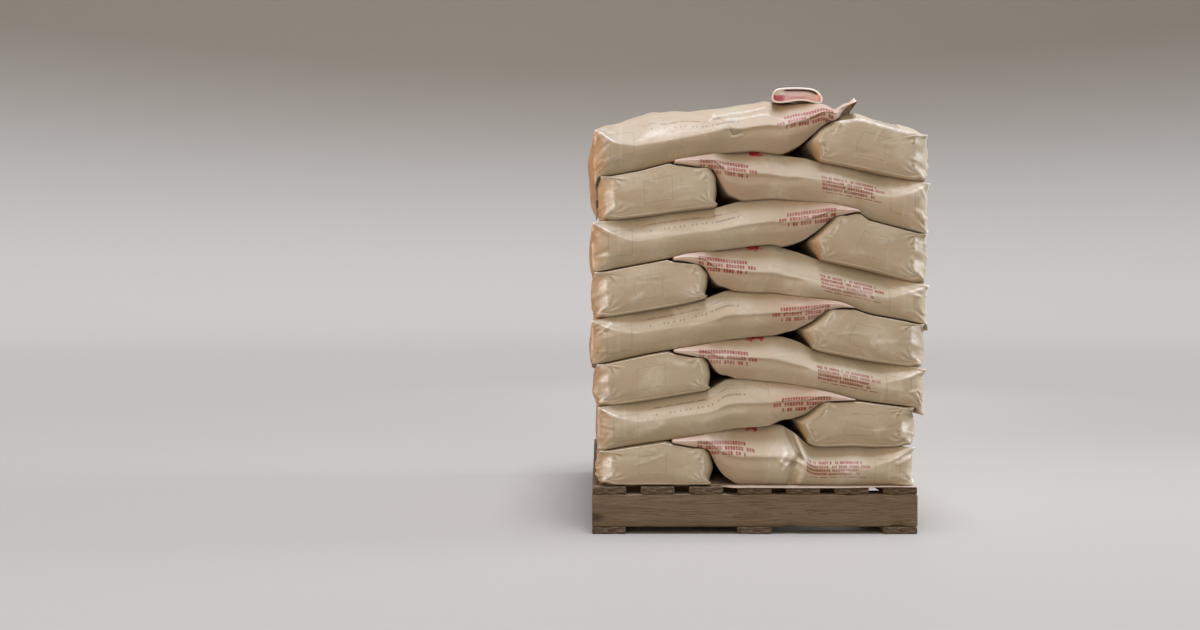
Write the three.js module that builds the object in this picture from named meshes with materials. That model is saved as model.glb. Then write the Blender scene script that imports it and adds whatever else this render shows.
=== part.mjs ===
// A pallet of paper sacks: forty filled sacks in eight interlocked layers of five, on a wooden
// stringer pallet with a paper slip sheet on its deck.
// Millimetres, +Z up. The origin is on the floor under the middle of the pallet. +X runs along
// the pallet's short side and +Y along its long side, away from the side that is called front.
import * as THREE from 'three';

// Pallet.
const PALLET_WIDTH = 1000;
const PALLET_DEPTH = 1200;
const BOARD_THICK = 22;
const BOARD_WIDTH = 105;
const DECK_BOARDS = 7;
const STRINGER_HIGH = 101;
const STRINGER_WIDE = 70;
const DECK_TOP = BOARD_THICK + STRINGER_HIGH + BOARD_THICK;

// Slip sheet: a paperboard sheet that stops a little inside the deck's edges.
const SHEET_THICK = 3;
const SHEET_MARGIN = 8;

// Clearance between a sack and what it lies on.
const GAP = 0.3;

// Sacks. A filled sack is square at its block end and tapers to a flat, closed tip.
const ROWS = 3;
const ROW_DEPTH = PALLET_DEPTH / ROWS;
// Its sides bulge, with a lengthwise crease above mid height, and slope in to the top above it.
const TIP_THICK = 5;
const LOW_ROUND = 26;
const TOP_ROUND = 44;
const BULGE_SHARE = 0.28;
const CREASE_SHARE = 0.58;
const END_ROUND = 14;

// The cross sacks' inner side, from its foot to the corner at its top, and the underside of the
// long sacks' tapered ends, which climb over that corner. Each step is the place beyond the cross
// sack's inner edge and the share of the layer's height reached there. Past the corner the tapered
// end is a wedge that thins out to its tip. The cross sacks' side leans more in even layers.
const SHOULDERS = {
  odd: [[10, 0], [0, 0.3], [5, 0.56], [18, 0.7]],
  even: [[40, 0], [0, 0.28], [27, 0.46], [74, 0.76]],
};
const CLIMBS = {
  odd: [[-75, 0], [-30, 0.19], [-8, 0.41], [4, 0.6], [18, 0.72]],
  even: [[-80, 0], [-20, 0.22], [0, 0.34], [27, 0.5], [74, 0.78]],
};

// The tips' step on the cross sacks' tops runs out over this length past the tips.
const TIP_RUN_OUT = 60;

// The two cross sacks of a layer overlap in the middle of the pallet: the front one's tapered end
// lies on the rear one's.
const OVERLAP_START = 115;
const OVERLAP_END = 150;
const OVERLAP_STEP = 5;
const OVERLAP_CLEARANCE = 2;

// Heights of each layer's top above the deck, at these places across the pallet. The stack is
// high in the middle, where the tapered ends lie over their neighbours, and low at both sides.
const ACROSS = [-460, -230, -135, -80, 0, 100, 150, 250, 476];
// Inner: the cross sacks' inner edge. Tip: the long sacks' tip. Both are distances from the middle
// to the side where the cross sacks lie: the left side in odd layers, the right in even ones.
const LAYERS = [
  { tops: [113, 148, 163, 172, 181, 177, 142, 121, 120],
    left: -485, right: 500, inner: 128, tip: 253 },
  { tops: [246, 280, 297, 329, 327, 315, 306, 284, 243],
    left: -490, right: 497, inner: 129, tip: 309 },
  { tops: [383, 425, 443, 452, 459, 459, 443, 406, 369],
    left: -494, right: 534, inner: 132, tip: 247 },
  { tops: [517, 560, 581, 602, 600, 592, 584, 570, 509],
    left: -510, right: 528, inner: 144, tip: 305 },
  { tops: [668, 712, 725, 731, 740, 733, 720, 688, 634],
    left: -500, right: 546, inner: 141, tip: 249 },
  { tops: [817, 846, 859, 870, 883, 884, 880, 869, 792],
    left: -510, right: 537, inner: 169, tip: 325 },
  { tops: [956, 1007, 1025, 1030, 1036, 1023, 1016, 992, 946],
    left: -479, right: 550, inner: 110, tip: 245 },
  { tops: [1113, 1158, 1162, 1169, 1180, 1184, 1182, 1156, 1085],
    left: -515, right: 540, inner: 166, tip: 316 },
];

const PAPER = new THREE.MeshStandardMaterial({ color: 0xb8a27a, roughness: 0.75, metalness: 0 });
const SHEET_PAPER = new THREE.MeshStandardMaterial({ color: 0xcdbb97, roughness: 0.8, metalness: 0 });
const WOOD = new THREE.MeshStandardMaterial({ color: 0x7b6345, roughness: 0.85, metalness: 0 });

// The value at x of the line through the points (places, values), its end slopes carried on.
function onLine(x, places, values) {
  let i = 1;
  while (i < places.length - 1 && x > places[i]) i += 1;
  const share = (x - places[i - 1]) / (places[i] - places[i - 1]);
  return THREE.MathUtils.lerp(values[i - 1], values[i], share);
}

// Height above the floor of the top of layer n, counted from 1. Layer 0 is the slip sheet.
function layerTop(n, x) {
  return DECK_TOP + (n === 0 ? SHEET_THICK : onLine(x, ACROSS, LAYERS[n - 1].tops));
}

// The sorted places where a surface bends between two ends: its own, and those of the layer tops.
function bends(from, to, side, own) {
  const all = [from, to, ...own, ...ACROSS.map((x) => side * x)];
  return [...new Set(all)].filter((u) => u >= from && u <= to).sort((a, b) => a - b);
}

// How far below its own top the long sacks' wedge ends, past the corner of the cross sacks.
function wedge(n, u) {
  const layer = LAYERS[n - 1];
  const [beyond, share] = CLIMBS[n % 2 ? 'odd' : 'even'].at(-1);
  const corner = layer.inner + beyond;
  const x = n % 2 ? -corner : corner;
  const thick = (1 - share) * (layerTop(n, x) - layerTop(n - 1, x));
  return onLine(THREE.MathUtils.clamp(u, corner, layer.tip), [corner, layer.tip], [thick, TIP_THICK]);
}

// A closed solid through a row of rings with equal numbers of corners. Plane names the two
// coordinates that a ring's outline is read in when its end caps are cut into triangles.
function loft(rings, plane) {
  const corners = rings[0].length;
  const faces = [];
  for (let r = 0; r + 1 < rings.length; r += 1) {
    for (let c = 0; c < corners; c += 1) {
      const a = r * corners + c;
      const b = r * corners + ((c + 1) % corners);
      faces.push(a, b, b + corners, a, b + corners, a + corners);
    }
  }
  for (const end of [0, rings.length - 1]) {
    const outline = rings[end].map((p) => new THREE.Vector2(p[plane[0]], p[plane[1]]));
    const reversed = THREE.ShapeUtils.isClockWise(outline) !== (end === 0);
    for (const triangle of THREE.ShapeUtils.triangulateShape(outline, [])) {
      if (reversed) triangle.reverse();
      faces.push(...triangle.map((c) => end * corners + c));
    }
  }
  const points = rings.flat();
  if (signedVolume(points, faces) < 0) faces.reverse();
  const geometry = new THREE.BufferGeometry().setFromPoints(points);
  geometry.setIndex(faces);
  geometry.computeVertexNormals();
  return geometry;
}

function signedVolume(points, faces) {
  const cross = new THREE.Vector3();
  let sum = 0;
  for (let i = 0; i < faces.length; i += 3) {
    cross.crossVectors(points[faces[i + 1]], points[faces[i + 2]]);
    sum += points[faces[i]].dot(cross);
  }
  return sum / 6;
}

// A long sack of layer n in the given row. It runs along u, which is x seen from the side where
// the cross sacks lie: side is 1 where that is +X and -1 where it is -X.
function longSack(n, row) {
  const layer = LAYERS[n - 1];
  const side = n % 2 === 0 ? 1 : -1;
  const block = side === 1 ? layer.left : -layer.right;
  const front = -PALLET_DEPTH / 2 + row * ROW_DEPTH + GAP / 2;
  const back = front + ROW_DEPTH - GAP;
  const steps = CLIMBS[n % 2 ? 'odd' : 'even'];
  const climb = steps.map(([beyond]) => layer.inner + beyond);
  const shares = steps.map(([, share]) => share);

  function underside(u) {
    const low = layerTop(n - 1, side * u) + GAP;
    if (u <= climb[0]) return low;
    if (u >= climb.at(-1)) return layerTop(n, side * u) - wedge(n, u);
    return THREE.MathUtils.lerp(low, layerTop(n, side * u), onLine(u, climb, shares));
  }

  function ring(u, inset) {
    const top = layerTop(n, side * u) - inset;
    const low = underside(u) + inset;
    const high = top - low;
    const lowIn = inset + Math.min(LOW_ROUND, 0.2 * high);
    const topIn = inset + Math.min(TOP_ROUND, 0.33 * high);
    const bulge = low + BULGE_SHARE * high;
    const crease = low + CREASE_SHARE * high;
    return [
      [front + lowIn, low],
      [front + inset, bulge],
      [front + inset, crease],
      [front + topIn, top],
      [back - topIn, top],
      [back - inset, crease],
      [back - inset, bulge],
      [back - lowIn, low],
    ].map(([y, z]) => new THREE.Vector3(side * u, y, z));
  }

  const places = bends(block + END_ROUND, layer.tip, side, climb);
  return loft([ring(block, END_ROUND), ...places.map((u) => ring(u, 0))], ['y', 'z']);
}

// A cross sack of layer n. It runs along y, with its block end at the front or at the rear.
function crossSack(n, place) {
  const layer = LAYERS[n - 1];
  const side = n % 2 === 0 ? 1 : -1;
  const outer = side === 1 ? layer.right : -layer.left;
  const steps = SHOULDERS[n % 2 ? 'odd' : 'even'];
  const [[foot], [firstTop, cornerShare]] = [steps[0], steps.at(-1)];
  const stepEnd = layer.tip + OVERLAP_STEP;
  const runOut = [stepEnd, stepEnd + TIP_RUN_OUT];
  const topPlaces = bends(layer.inner + firstTop, outer - TOP_ROUND, side, runOut);
  const lowPlaces = bends(layer.inner + foot, outer - LOW_ROUND, side, []);
  const bottom = (u) => layerTop(n - 1, side * u) + GAP;

  // The tips of the long sacks lie on this top, which runs level with theirs again past them.
  function top(u) {
    const level = onLine(THREE.MathUtils.clamp(u, ...runOut), runOut, [1, 0]);
    return layerTop(n, side * u) - level * (wedge(n, u) + GAP);
  }

  // The face between the two overlapping ends rises by the same amount all across the sack.
  const lowestTop = Math.min(...topPlaces.map((u) => top(u) - bottom(u)));
  const rise = lowestTop - 2 * TIP_THICK;
  function overlapFace(u, y) {
    const share = THREE.MathUtils.clamp((y + OVERLAP_START) / (2 * OVERLAP_START), 0, 1);
    return bottom(u) + THREE.MathUtils.lerp(TIP_THICK, rise, share);
  }

  const laps = (part, y) => place === part && Math.abs(y) <= OVERLAP_END;
  const lowAt = (u, y) => (laps('front', y) ? overlapFace(u, y) + OVERLAP_CLEARANCE : bottom(u));
  const topAt = (u, y) => (laps('rear', y) ? overlapFace(u, y) : top(u));

  // How far in the inner side lies at a share of the cross sack's own height.
  const shares = steps.map(([, share]) => share / cornerShare);
  const innerEdge = (share) => layer.inner + onLine(share, shares, steps.map(([beyond]) => beyond));

  function ring(y, inset) {
    const middle = layer.inner + foot;
    const full = top(middle) - bottom(middle);
    const lowShare = (lowAt(middle, y) - bottom(middle)) / full;
    const topShare = (topAt(middle, y) - bottom(middle)) / full;
    const lowStart = innerEdge(lowShare);
    const squeeze = (u) => THREE.MathUtils.clamp(u, layer.inner + inset, outer - inset);
    const at = (u, share) => {
      const z = THREE.MathUtils.lerp(lowAt(u, y) + inset, topAt(u, y) - inset, share);
      return new THREE.Vector3(side * squeeze(u), y, z);
    };
    const inner = shares.slice(1, 3).map((own) => {
      return at(innerEdge(THREE.MathUtils.lerp(lowShare, topShare, own)), own);
    });
    return [
      ...inner,
      ...topPlaces.map((u) => at(u, 1)),
      at(outer, CREASE_SHARE),
      at(outer, BULGE_SHARE),
      ...lowPlaces.toReversed().map((u) => at(Math.max(u, lowStart), 0)),
    ];
  }

  const end = PALLET_DEPTH / 2;
  const along = place === 'front'
    ? [-end, -end + END_ROUND, -OVERLAP_END - OVERLAP_STEP, -OVERLAP_END, -OVERLAP_START,
      OVERLAP_START, OVERLAP_END]
    : [-OVERLAP_END, -OVERLAP_START, OVERLAP_START, OVERLAP_END, OVERLAP_END + OVERLAP_STEP,
      end - END_ROUND, end];
  return loft(along.map((y) => ring(y, Math.abs(y) === end ? END_ROUND : 0)), ['x', 'z']);
}

function addPiece(group, name, geometry, material, x = 0, y = 0, z = 0) {
  const mesh = new THREE.Mesh(geometry, material);
  mesh.name = name;
  mesh.position.set(x, y, z);
  group.add(mesh);
}

// Two-way pallet: three stringers along x, with the deck and the bottom boards nailed across them.
function makePallet() {
  const pallet = new THREE.Group();
  const board = new THREE.BoxGeometry(BOARD_WIDTH, PALLET_DEPTH, BOARD_THICK);
  const stringer = new THREE.BoxGeometry(PALLET_WIDTH, STRINGER_WIDE, STRINGER_HIGH);
  const reach = (PALLET_WIDTH - BOARD_WIDTH) / 2;
  ['left', 'middle', 'right'].forEach((place, i) => {
    addPiece(pallet, `bottom_board_${place}`, board, WOOD, (i - 1) * reach, 0, BOARD_THICK / 2);
  });
  ['front', 'middle', 'rear'].forEach((place, i) => {
    const y = ((i - 1) * (PALLET_DEPTH - STRINGER_WIDE)) / 2;
    addPiece(pallet, `stringer_${place}`, stringer, WOOD, 0, y, BOARD_THICK + STRINGER_HIGH / 2);
  });
  for (let i = 0; i < DECK_BOARDS; i += 1) {
    const x = -reach + (2 * reach * i) / (DECK_BOARDS - 1);
    addPiece(pallet, `deck_board_${i + 1}`, board, WOOD, x, 0, DECK_TOP - BOARD_THICK / 2);
  }
  return pallet;
}

function makeSlipSheet() {
  const width = PALLET_WIDTH - 2 * SHEET_MARGIN;
  const depth = PALLET_DEPTH - 2 * SHEET_MARGIN;
  const sheet = new THREE.Group();
  const geometry = new THREE.BoxGeometry(width, depth, SHEET_THICK);
  addPiece(sheet, 'slip_sheet', geometry, SHEET_PAPER, 0, 0, DECK_TOP + SHEET_THICK / 2);
  return sheet;
}

function makeLayer(n) {
  const layer = new THREE.Group();
  ['front', 'middle', 'rear'].forEach((place, row) => {
    addPiece(layer, `sack_${n}_long_${place}`, longSack(n, row), PAPER);
  });
  for (const place of ['front', 'rear']) {
    addPiece(layer, `sack_${n}_cross_${place}`, crossSack(n, place), PAPER);
  }
  return layer;
}

const palletOfSacks = new THREE.Group();
palletOfSacks.add(makePallet(), makeSlipSheet());
for (let n = 1; n <= LAYERS.length; n += 1) palletOfSacks.add(makeLayer(n));

export default palletOfSacks;
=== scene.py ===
# %% [markdown]
# # A pallet of kraft paper sacks
# Forty filled sacks in eight layers of five, interlocked so that the stack holds itself together,
# on a two-way stringer pallet. The CAD frame gives every piece its place. This script gives each
# sack its own paper shell, with the folds and creases of a filled bag, and gives the pallet its
# wood. Everything is in metres, with the floor at z = 0 and the front of the stack at y = -0.6.

import math

import bpy
import numpy as np
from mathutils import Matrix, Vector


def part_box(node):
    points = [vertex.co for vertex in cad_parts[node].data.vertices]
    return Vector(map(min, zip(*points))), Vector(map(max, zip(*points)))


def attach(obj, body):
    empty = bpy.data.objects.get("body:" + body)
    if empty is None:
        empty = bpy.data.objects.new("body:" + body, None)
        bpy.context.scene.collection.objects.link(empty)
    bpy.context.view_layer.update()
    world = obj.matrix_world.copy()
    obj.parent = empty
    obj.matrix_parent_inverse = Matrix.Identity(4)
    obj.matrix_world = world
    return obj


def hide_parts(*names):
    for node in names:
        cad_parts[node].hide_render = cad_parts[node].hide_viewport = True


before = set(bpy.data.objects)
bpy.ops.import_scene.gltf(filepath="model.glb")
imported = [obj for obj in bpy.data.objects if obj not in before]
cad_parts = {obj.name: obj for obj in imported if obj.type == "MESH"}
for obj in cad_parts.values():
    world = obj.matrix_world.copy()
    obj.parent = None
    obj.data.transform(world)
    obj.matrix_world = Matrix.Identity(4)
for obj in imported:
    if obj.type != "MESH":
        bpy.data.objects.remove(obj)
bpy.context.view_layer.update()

# %% [markdown]
# ## Camera
# The photograph looks squarely at the pallet's short side from about three metres, and the stack
# stands right of the middle of the picture. Turning the camera towards the stack would bend the
# upright lines, so the camera looks straight along +Y and simply stands to the left.

# %% Camera
PHOTO_WIDTH, PHOTO_HEIGHT = 1200, 630
METRES_PER_PIXEL = 0.00307  # in the plane of the front row, from the pallet's 1000 mm side
FOCAL_PIXELS = 1000
FRONT = -0.6
FLOOR_PIXEL = 534.2  # the picture row of the floor under the front row
MIDDLE_PIXEL = 755  # the picture column of the middle of the pallet
SENSOR_WIDTH = 36

camera_data = bpy.data.cameras.new("camera")
camera_data.sensor_width = SENSOR_WIDTH
camera_data.lens = SENSOR_WIDTH * FOCAL_PIXELS / PHOTO_WIDTH
camera = bpy.data.objects.new("camera", camera_data)
camera.location = (
    (PHOTO_WIDTH / 2 - MIDDLE_PIXEL) * METRES_PER_PIXEL,
    FRONT - FOCAL_PIXELS * METRES_PER_PIXEL,
    (FLOOR_PIXEL - PHOTO_HEIGHT / 2) * METRES_PER_PIXEL,
)
camera.rotation_euler = (math.pi / 2, 0, 0)
bpy.context.scene.collection.objects.link(camera)
bpy.context.scene.camera = camera
print("camera at", tuple(round(v, 3) for v in camera.location))


# %% [markdown]
# ## Small helpers
# Colours are written as the sRGB hex values that a colour picker shows, and Blender's shaders want
# linear light, so one function turns one into the other. A second adds a shader node with its
# settings and its links in one line, which keeps every material readable from top to bottom.

# %% Helpers for colour and nodes
def linear(hex_colour):
    """sRGB to linear: each channel over 12.92 when dark, else ((c + 0.055) / 1.055) to 2.4."""
    channels = np.array([int(hex_colour[i : i + 2], 16) for i in (1, 3, 5)]) / 255
    light = np.where(channels <= 0.04045, channels / 12.92, ((channels + 0.055) / 1.055) ** 2.4)
    return (*light.tolist(), 1.0)


def add(tree, kind, settings=None, **inputs):
    """Adds a node. A value sets the input of that name (in0, in1 ... by place), a socket links it."""
    node = tree.nodes.new(kind)
    for name, value in (settings or {}).items():
        setattr(node, name, value)
    for name, value in inputs.items():
        by_place = name.startswith("in") and name[2:].isdigit()
        socket = node.inputs[int(name[2:]) if by_place else name.replace("_", " ")]
        if isinstance(value, bpy.types.NodeSocket):
            tree.links.new(value, socket)
        else:
            socket.default_value = value
    return node


def new_material(name):
    """An empty node material with its output, and its node tree."""
    material = bpy.data.materials.new(name)
    material.use_nodes = True
    material.node_tree.nodes.clear()
    return material, material.node_tree


# %% [markdown]
# ## Floor and light
# A plain pale floor that curves up far away on all sides, and soft light as in a hall with roof
# lights: a cool one from above, which whitens what faces up, and a broad one from high in front,
# which leaves the upper half of each bulging side bright and its lower half dim. A weak lamp from
# the front, a warm one at the left and a cool one at the right pick out the sacks' ends, and one
# behind fills the rear. Sun lamps with a wide angle stand in for the roof lights, because they
# light the floor evenly however far that goes. The lamps are hidden from the camera.

# %% Floor
def round_floor(level=24.0, bend=10.0, height=13.0, sectors=96):
    """A dish: level as far as the bend, a quarter circle of radius bend, then straight up all round."""
    angle = np.linspace(0, np.pi / 2, 25)
    radius = np.r_[level / 2, level + bend * np.sin(angle), level + bend]
    z = np.r_[0, bend - bend * np.cos(angle), height]
    way = np.linspace(0, 2 * np.pi, sectors, False)
    rings = [np.outer(radius, np.cos(way)), np.outer(radius, np.sin(way)), np.outer(z, np.ones(sectors))]
    vertices = np.stack(rings, -1).reshape(-1, 3)
    r, k = np.mgrid[0 : len(z) - 1, 0:sectors] * np.array([sectors, 1])[:, None, None]
    ahead = (k + 1) % sectors
    quads = np.stack([r + k, r + sectors + k, r + sectors + ahead, r + ahead], -1).reshape(-1, 4)
    disc = list(range(sectors))
    mesh = bpy.data.meshes.new("floor")
    mesh.from_pydata(vertices.tolist(), [], [disc, *quads.tolist()])
    mesh.polygons.foreach_set("use_smooth", np.ones(len(mesh.polygons), bool))
    return mesh


floor = bpy.data.objects.new("floor", round_floor())
bpy.context.scene.collection.objects.link(floor)
floor_paint, tree = new_material("matt pale floor paint")
shader = add(tree, "ShaderNodeBsdfPrincipled", Base_Color=linear("#989083"), Roughness=0.75)
add(tree, "ShaderNodeOutputMaterial", Surface=shader.outputs[0])
floor.data.materials.append(floor_paint)
print("floor faces:", len(floor.data.polygons))

# %% Light
ROOF_LIGHTS = {
    # name: (the direction it shines from, energy, angular width in degrees, colour)
    "roof light overhead": ((0.2, -0.6, 4.8), 5.9, 30, "#d8e4ff"),
    "roof light in front": ((0.3, -3.6, 3.1), 1.12, 56, "#fff9f2"),
}
LAMPS = {
    # name: (place, aimed at, width, height, watts, colour, spread in degrees)
    "front fill": ((-1.2, -6.5, 2.4), (0.0, 0.0, 0.8), 4.0, 3.0, 27, "#fcf2e8", 120),
    "left window": ((-7.5, -1.6, 1.2), (-0.4, -0.2, 1.6), 2.4, 2.4, 15, "#ffa42a", 34),
    "right window": ((7.5, 0.6, 2.4), (0.4, -0.2, 0.8), 2.2, 2.4, 32, "#f2f6ff", 40),
    "rear fill": ((1.2, 6.5, 2.4), (0.0, 0.0, 0.8), 4.0, 3.0, 24, "#fcf2e8", 120),
}


def turned_to_shine(place, target):
    """Angles that turn a lamp's -Z axis from a place towards its target."""
    away = np.array(target) - np.array(place)
    tilt = math.atan2(math.hypot(away[0], away[1]), -away[2])
    return tilt, 0, math.atan2(away[1], away[0]) - math.pi / 2


for name, (shines_from, energy, degrees, colour) in ROOF_LIGHTS.items():
    roof_light_data = bpy.data.lights.new(name, "SUN")
    roof_light_data.energy, roof_light_data.angle = energy, math.radians(degrees)
    roof_light_data.color = linear(colour)[:3]
    roof_light = bpy.data.objects.new(name, roof_light_data)
    roof_light.rotation_euler = turned_to_shine(shines_from, (0, 0, 0))
    bpy.context.scene.collection.objects.link(roof_light)

for name, (place, target, width, height, watts, colour, spread) in LAMPS.items():
    lamp_data = bpy.data.lights.new(name, "AREA")
    lamp_data.shape, lamp_data.size, lamp_data.size_y = "RECTANGLE", width, height
    lamp_data.energy, lamp_data.color = watts, linear(colour)[:3]
    lamp_data.spread = math.radians(spread)
    lamp = bpy.data.objects.new(name, lamp_data)
    lamp.location = place
    lamp.rotation_euler = turned_to_shine(place, target)
    lamp.visible_camera = False
    bpy.context.scene.collection.objects.link(lamp)

world = bpy.data.worlds.new("soft room light")
bpy.context.scene.world = world
world.use_nodes = True
world.node_tree.nodes.clear()
sky = add(world.node_tree, "ShaderNodeBackground", Color=linear("#f0e1cd"), Strength=0.19)
add(world.node_tree, "ShaderNodeOutputWorld", Surface=sky.outputs[0])
bpy.context.scene.view_settings.view_transform = "Standard"
print("lamps:", list(ROOF_LIGHTS) + list(LAMPS))

# %% [markdown]
# ## Where the layers lie
# Sacks lie on each other without gaps, so one surface is both the top of a layer and the bottom of
# the next. It is a bent line across the pallet: high in the middle, where the tapered ends lie over
# their neighbours, and low at both sides. The corners of the line are rounded by a running mean,
# because filled paper can't follow a sharp bend, and slow ripples keep it from looking ruled.

# %% Layer heights
DECK_TOP = 0.145
SHEET_THICK = 0.003
GAP = 0.0003  # between a layer and what it lies on
ROW_DEPTH = 0.4  # of each of the three long sacks that lie side by side
BACK = 0.6  # the stack's rear
RIPPLE = 0.0015  # how high the slow ripples on a layer are

# For each layer: the line of its top as (x, height above the deck) in millimetres.
TOP_LINES = [
    [(-560, 98), (-470, 111), (-279, 141), (-52, 176), (61, 187), (92, 184), (129, 160), (172, 123),
     (347, 120), (467, 120), (580, 120)],
    [(-560, 230), (-451, 247), (-138, 293), (-83, 328), (-37, 331), (61, 321), (132, 310),
     (233, 289), (313, 267), (485, 243), (580, 229)],
    [(-560, 365), (-470, 382), (-221, 427), (-83, 452), (6, 460), (61, 466), (107, 458), (144, 446),
     (190, 419), (347, 385), (457, 371), (580, 356)],
    [(-560, 498), (-464, 516), (-150, 575), (-83, 602), (-6, 600), (61, 599), (132, 586),
     (264, 568), (347, 537), (500, 503), (580, 486)],
    [(-560, 650), (-464, 667), (-249, 706), (-215, 716), (-6, 740), (61, 744), (150, 720),
     (212, 697), (344, 666), (485, 632), (580, 610)],
    [(-560, 804), (-460, 817), (-292, 838), (-114, 861), (-46, 880), (61, 887), (233, 873),
     (325, 850), (344, 826), (464, 795), (580, 765)],
    [(-560, 937), (-460, 956), (-353, 976), (-239, 1005), (-123, 1027), (0, 1036), (163, 1015),
     (212, 999), (344, 973), (476, 946), (580, 924)],
    [(-560, 1052), (-500, 1091), (-467, 1113), (-310, 1156), (-141, 1160), (46, 1187), (212, 1185),
     (249, 1159), (286, 1143), (427, 1102), (540, 1077), (580, 1070)],
]
# Ends of each layer at the left and right, the cross sacks' inner edge and the long sacks' tip,
# both measured from the middle of the pallet towards the side where the cross sacks lie.
LAYER_ENDS = [
    dict(left=-0.485, right=0.500, inner=0.128, tip=0.253),
    dict(left=-0.490, right=0.497, inner=0.129, tip=0.309),
    dict(left=-0.494, right=0.534, inner=0.132, tip=0.247),
    dict(left=-0.510, right=0.528, inner=0.144, tip=0.305),
    dict(left=-0.500, right=0.546, inner=0.141, tip=0.249),
    dict(left=-0.510, right=0.537, inner=0.169, tip=0.325),
    dict(left=-0.479, right=0.550, inner=0.110, tip=0.245),
    dict(left=-0.515, right=0.540, inner=0.166, tip=0.316),
]
LAYER_COUNT = len(TOP_LINES)


def rounded_line(x, places, values, reach):
    """Mean of the bent line at nine points from x - reach to x + reach, the middle ones heavier."""
    steps = np.linspace(-1, 1, 9)
    weights = 1.15 - steps**2
    total = sum(w * np.interp(x + s * reach, places, values) for s, w in zip(steps, weights))
    return total / weights.sum()


def waves(p, q, length, seed, count=7):
    """Slow ripples, mostly from -1 to 1: sine waves of random direction and near one length, added
    up and divided by the root of their number."""
    rng = np.random.default_rng(seed)
    total = 0
    for _ in range(count):
        angle, phase = rng.uniform(0, 2 * np.pi, 2)
        stretch = 2 * np.pi / (length * rng.uniform(0.7, 1.5))
        total = total + np.sin(stretch * (p * np.cos(angle) + q * np.sin(angle)) + phase)
    return total / math.sqrt(count)


def layer_top(n, x, y, reach=0.016):
    """Height of the top of layer n: its rounded line, plus slow ripples. Layer 0 is the sheet."""
    if n == 0:
        return np.full(np.broadcast(x, y).shape, DECK_TOP + SHEET_THICK)
    places, values = np.array(TOP_LINES[n - 1]).T / 1000
    return DECK_TOP + rounded_line(x, places, values, reach) + RIPPLE * waves(x, y, 0.22, 40 + n)


print("layer tops at the middle:",
      [round(float(layer_top(n, 0.0, 0.0)), 3) for n in range(LAYER_COUNT + 1)])

# %% [markdown]
# ## Folds in paper
# Cloth hangs in soft waves, but a multiwall paper sack breaks into flat facets that meet in sharp
# creases. A cloth simulation of forty sacks would take far longer than the three minutes that this
# script may run, and it would round just those creases off. So the folds are worked out instead:
# each is a tent with a sharp crest along a line, pleats run out of the corners as a triangle wave
# of the angle, short pinches cross the edges of the ends, and a random crumple is a set of thin
# crests that come and go in patches.

# %% Fold functions
NOMINAL_HIGH = 0.138  # height of a filled sack's side: shares of it become metres in the folds


def ramp(value, soft):
    """Nought below zero and the value above it, rounded: half the sum of v and the root of v squared
    plus soft squared."""
    return 0.5 * (value + np.sqrt(value**2 + soft**2))


def smooth_share(value):
    """0 below 0, 1 above 1, and three v squared less two v cubed between."""
    v = np.clip(value, 0, 1)
    return v * v * (3 - 2 * v)


def tent_fold(p, q, start, end, width, lift, lean=1.0):
    """A crest of that lift along a line: it falls evenly to nothing at width, and on one side at lean
    times the width."""
    (p0, q0), (p1, q1) = start, end
    length = math.hypot(p1 - p0, q1 - q0)
    along = ((p - p0) * (p1 - p0) + (q - q0) * (q1 - q0)) / length**2
    off = ((q - q0) * (p1 - p0) - (p - p0) * (q1 - q0)) / length
    reach = np.where(off > 0, width * lean, width)
    past = np.maximum(np.abs(2 * along - 1) - 1, 0) * length / 2
    return lift * np.clip(1 - np.hypot(off / reach, past / width), 0, 1)


def corner_fan(p, q, reach, count, lift, phase):
    """Pleats out of the corner p = q = 0: a triangle wave of the angle, highest at half the reach."""
    distance = np.hypot(p, q) / reach
    angle = np.arctan2(q, p) / (np.pi / 2)
    wave = np.abs((angle * count + phase) % 1 - 0.5) * 4 - 1
    return lift * wave * 4 * distance * np.clip(1 - distance, 0, 1)


def edge_pinches(away, along, reach, lift, seed, spacing=0.018):
    """Short folds across an edge: a triangle wave along it, its spacing wandering, gone at reach."""
    wave = 4 * np.abs((along / spacing + 0.3 * waves(along, away, 0.07, seed)) % 1 - 0.5) - 1
    strength = np.clip(0.45 + 0.65 * waves(along, 0 * away, 0.06, seed + 1), 0, 1.5)
    return lift * wave * strength * np.clip(1 - away / reach, 0, 1) * np.clip(away / 0.004, 0, 1)


def edge_rub_and_highlight(away, along, seed):
    """A pale band 5 mm wide along an edge that comes and goes: paper rubs pale there, and a highlight is
    painted.
    """
    return np.exp(-((away / 0.005) ** 2)) * np.clip(0.8 + 0.8 * waves(along, 0 * away, 0.05, seed), 0, 1)


def crumple(p, q, length, seed, count=6):
    """Thin random crests and valleys: where a wandering wave crosses nought, shown only in patches."""
    rng = np.random.default_rng(seed)
    total = 0
    for i in range(count):
        angle, phase = rng.uniform(0, 2 * np.pi, 2)
        stretch = 2 * np.pi / (length * rng.uniform(0.8, 1.6))
        wander = 0.7 * waves(p, q, length * 2.5, rng.integers(1e6), 4)
        line = np.sin(stretch * (p * np.cos(angle) + q * np.sin(angle)) + phase + wander)
        patch = np.clip(waves(p, q, length * 2, rng.integers(1e6), 4) - 0.35, 0, 1)
        total = total + rng.choice([-1, 1]) * np.clip(1 - np.abs(line) / 0.3, 0, 1) * patch
    return total


# %% [markdown]
# ## The side of a filled sack
# Seen along its length a filled sack is a flattened oval with a lengthwise ridge: the crease of its
# side gusset. Above the ridge the panel slopes in to the top, below it the paper bulges and turns
# under. At the block end the ridge climbs to the upper corner, which stands out as a paper ear, and
# in the tapered half it breaks in a zigzag and folds in on itself as a narrow pleat.

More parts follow.
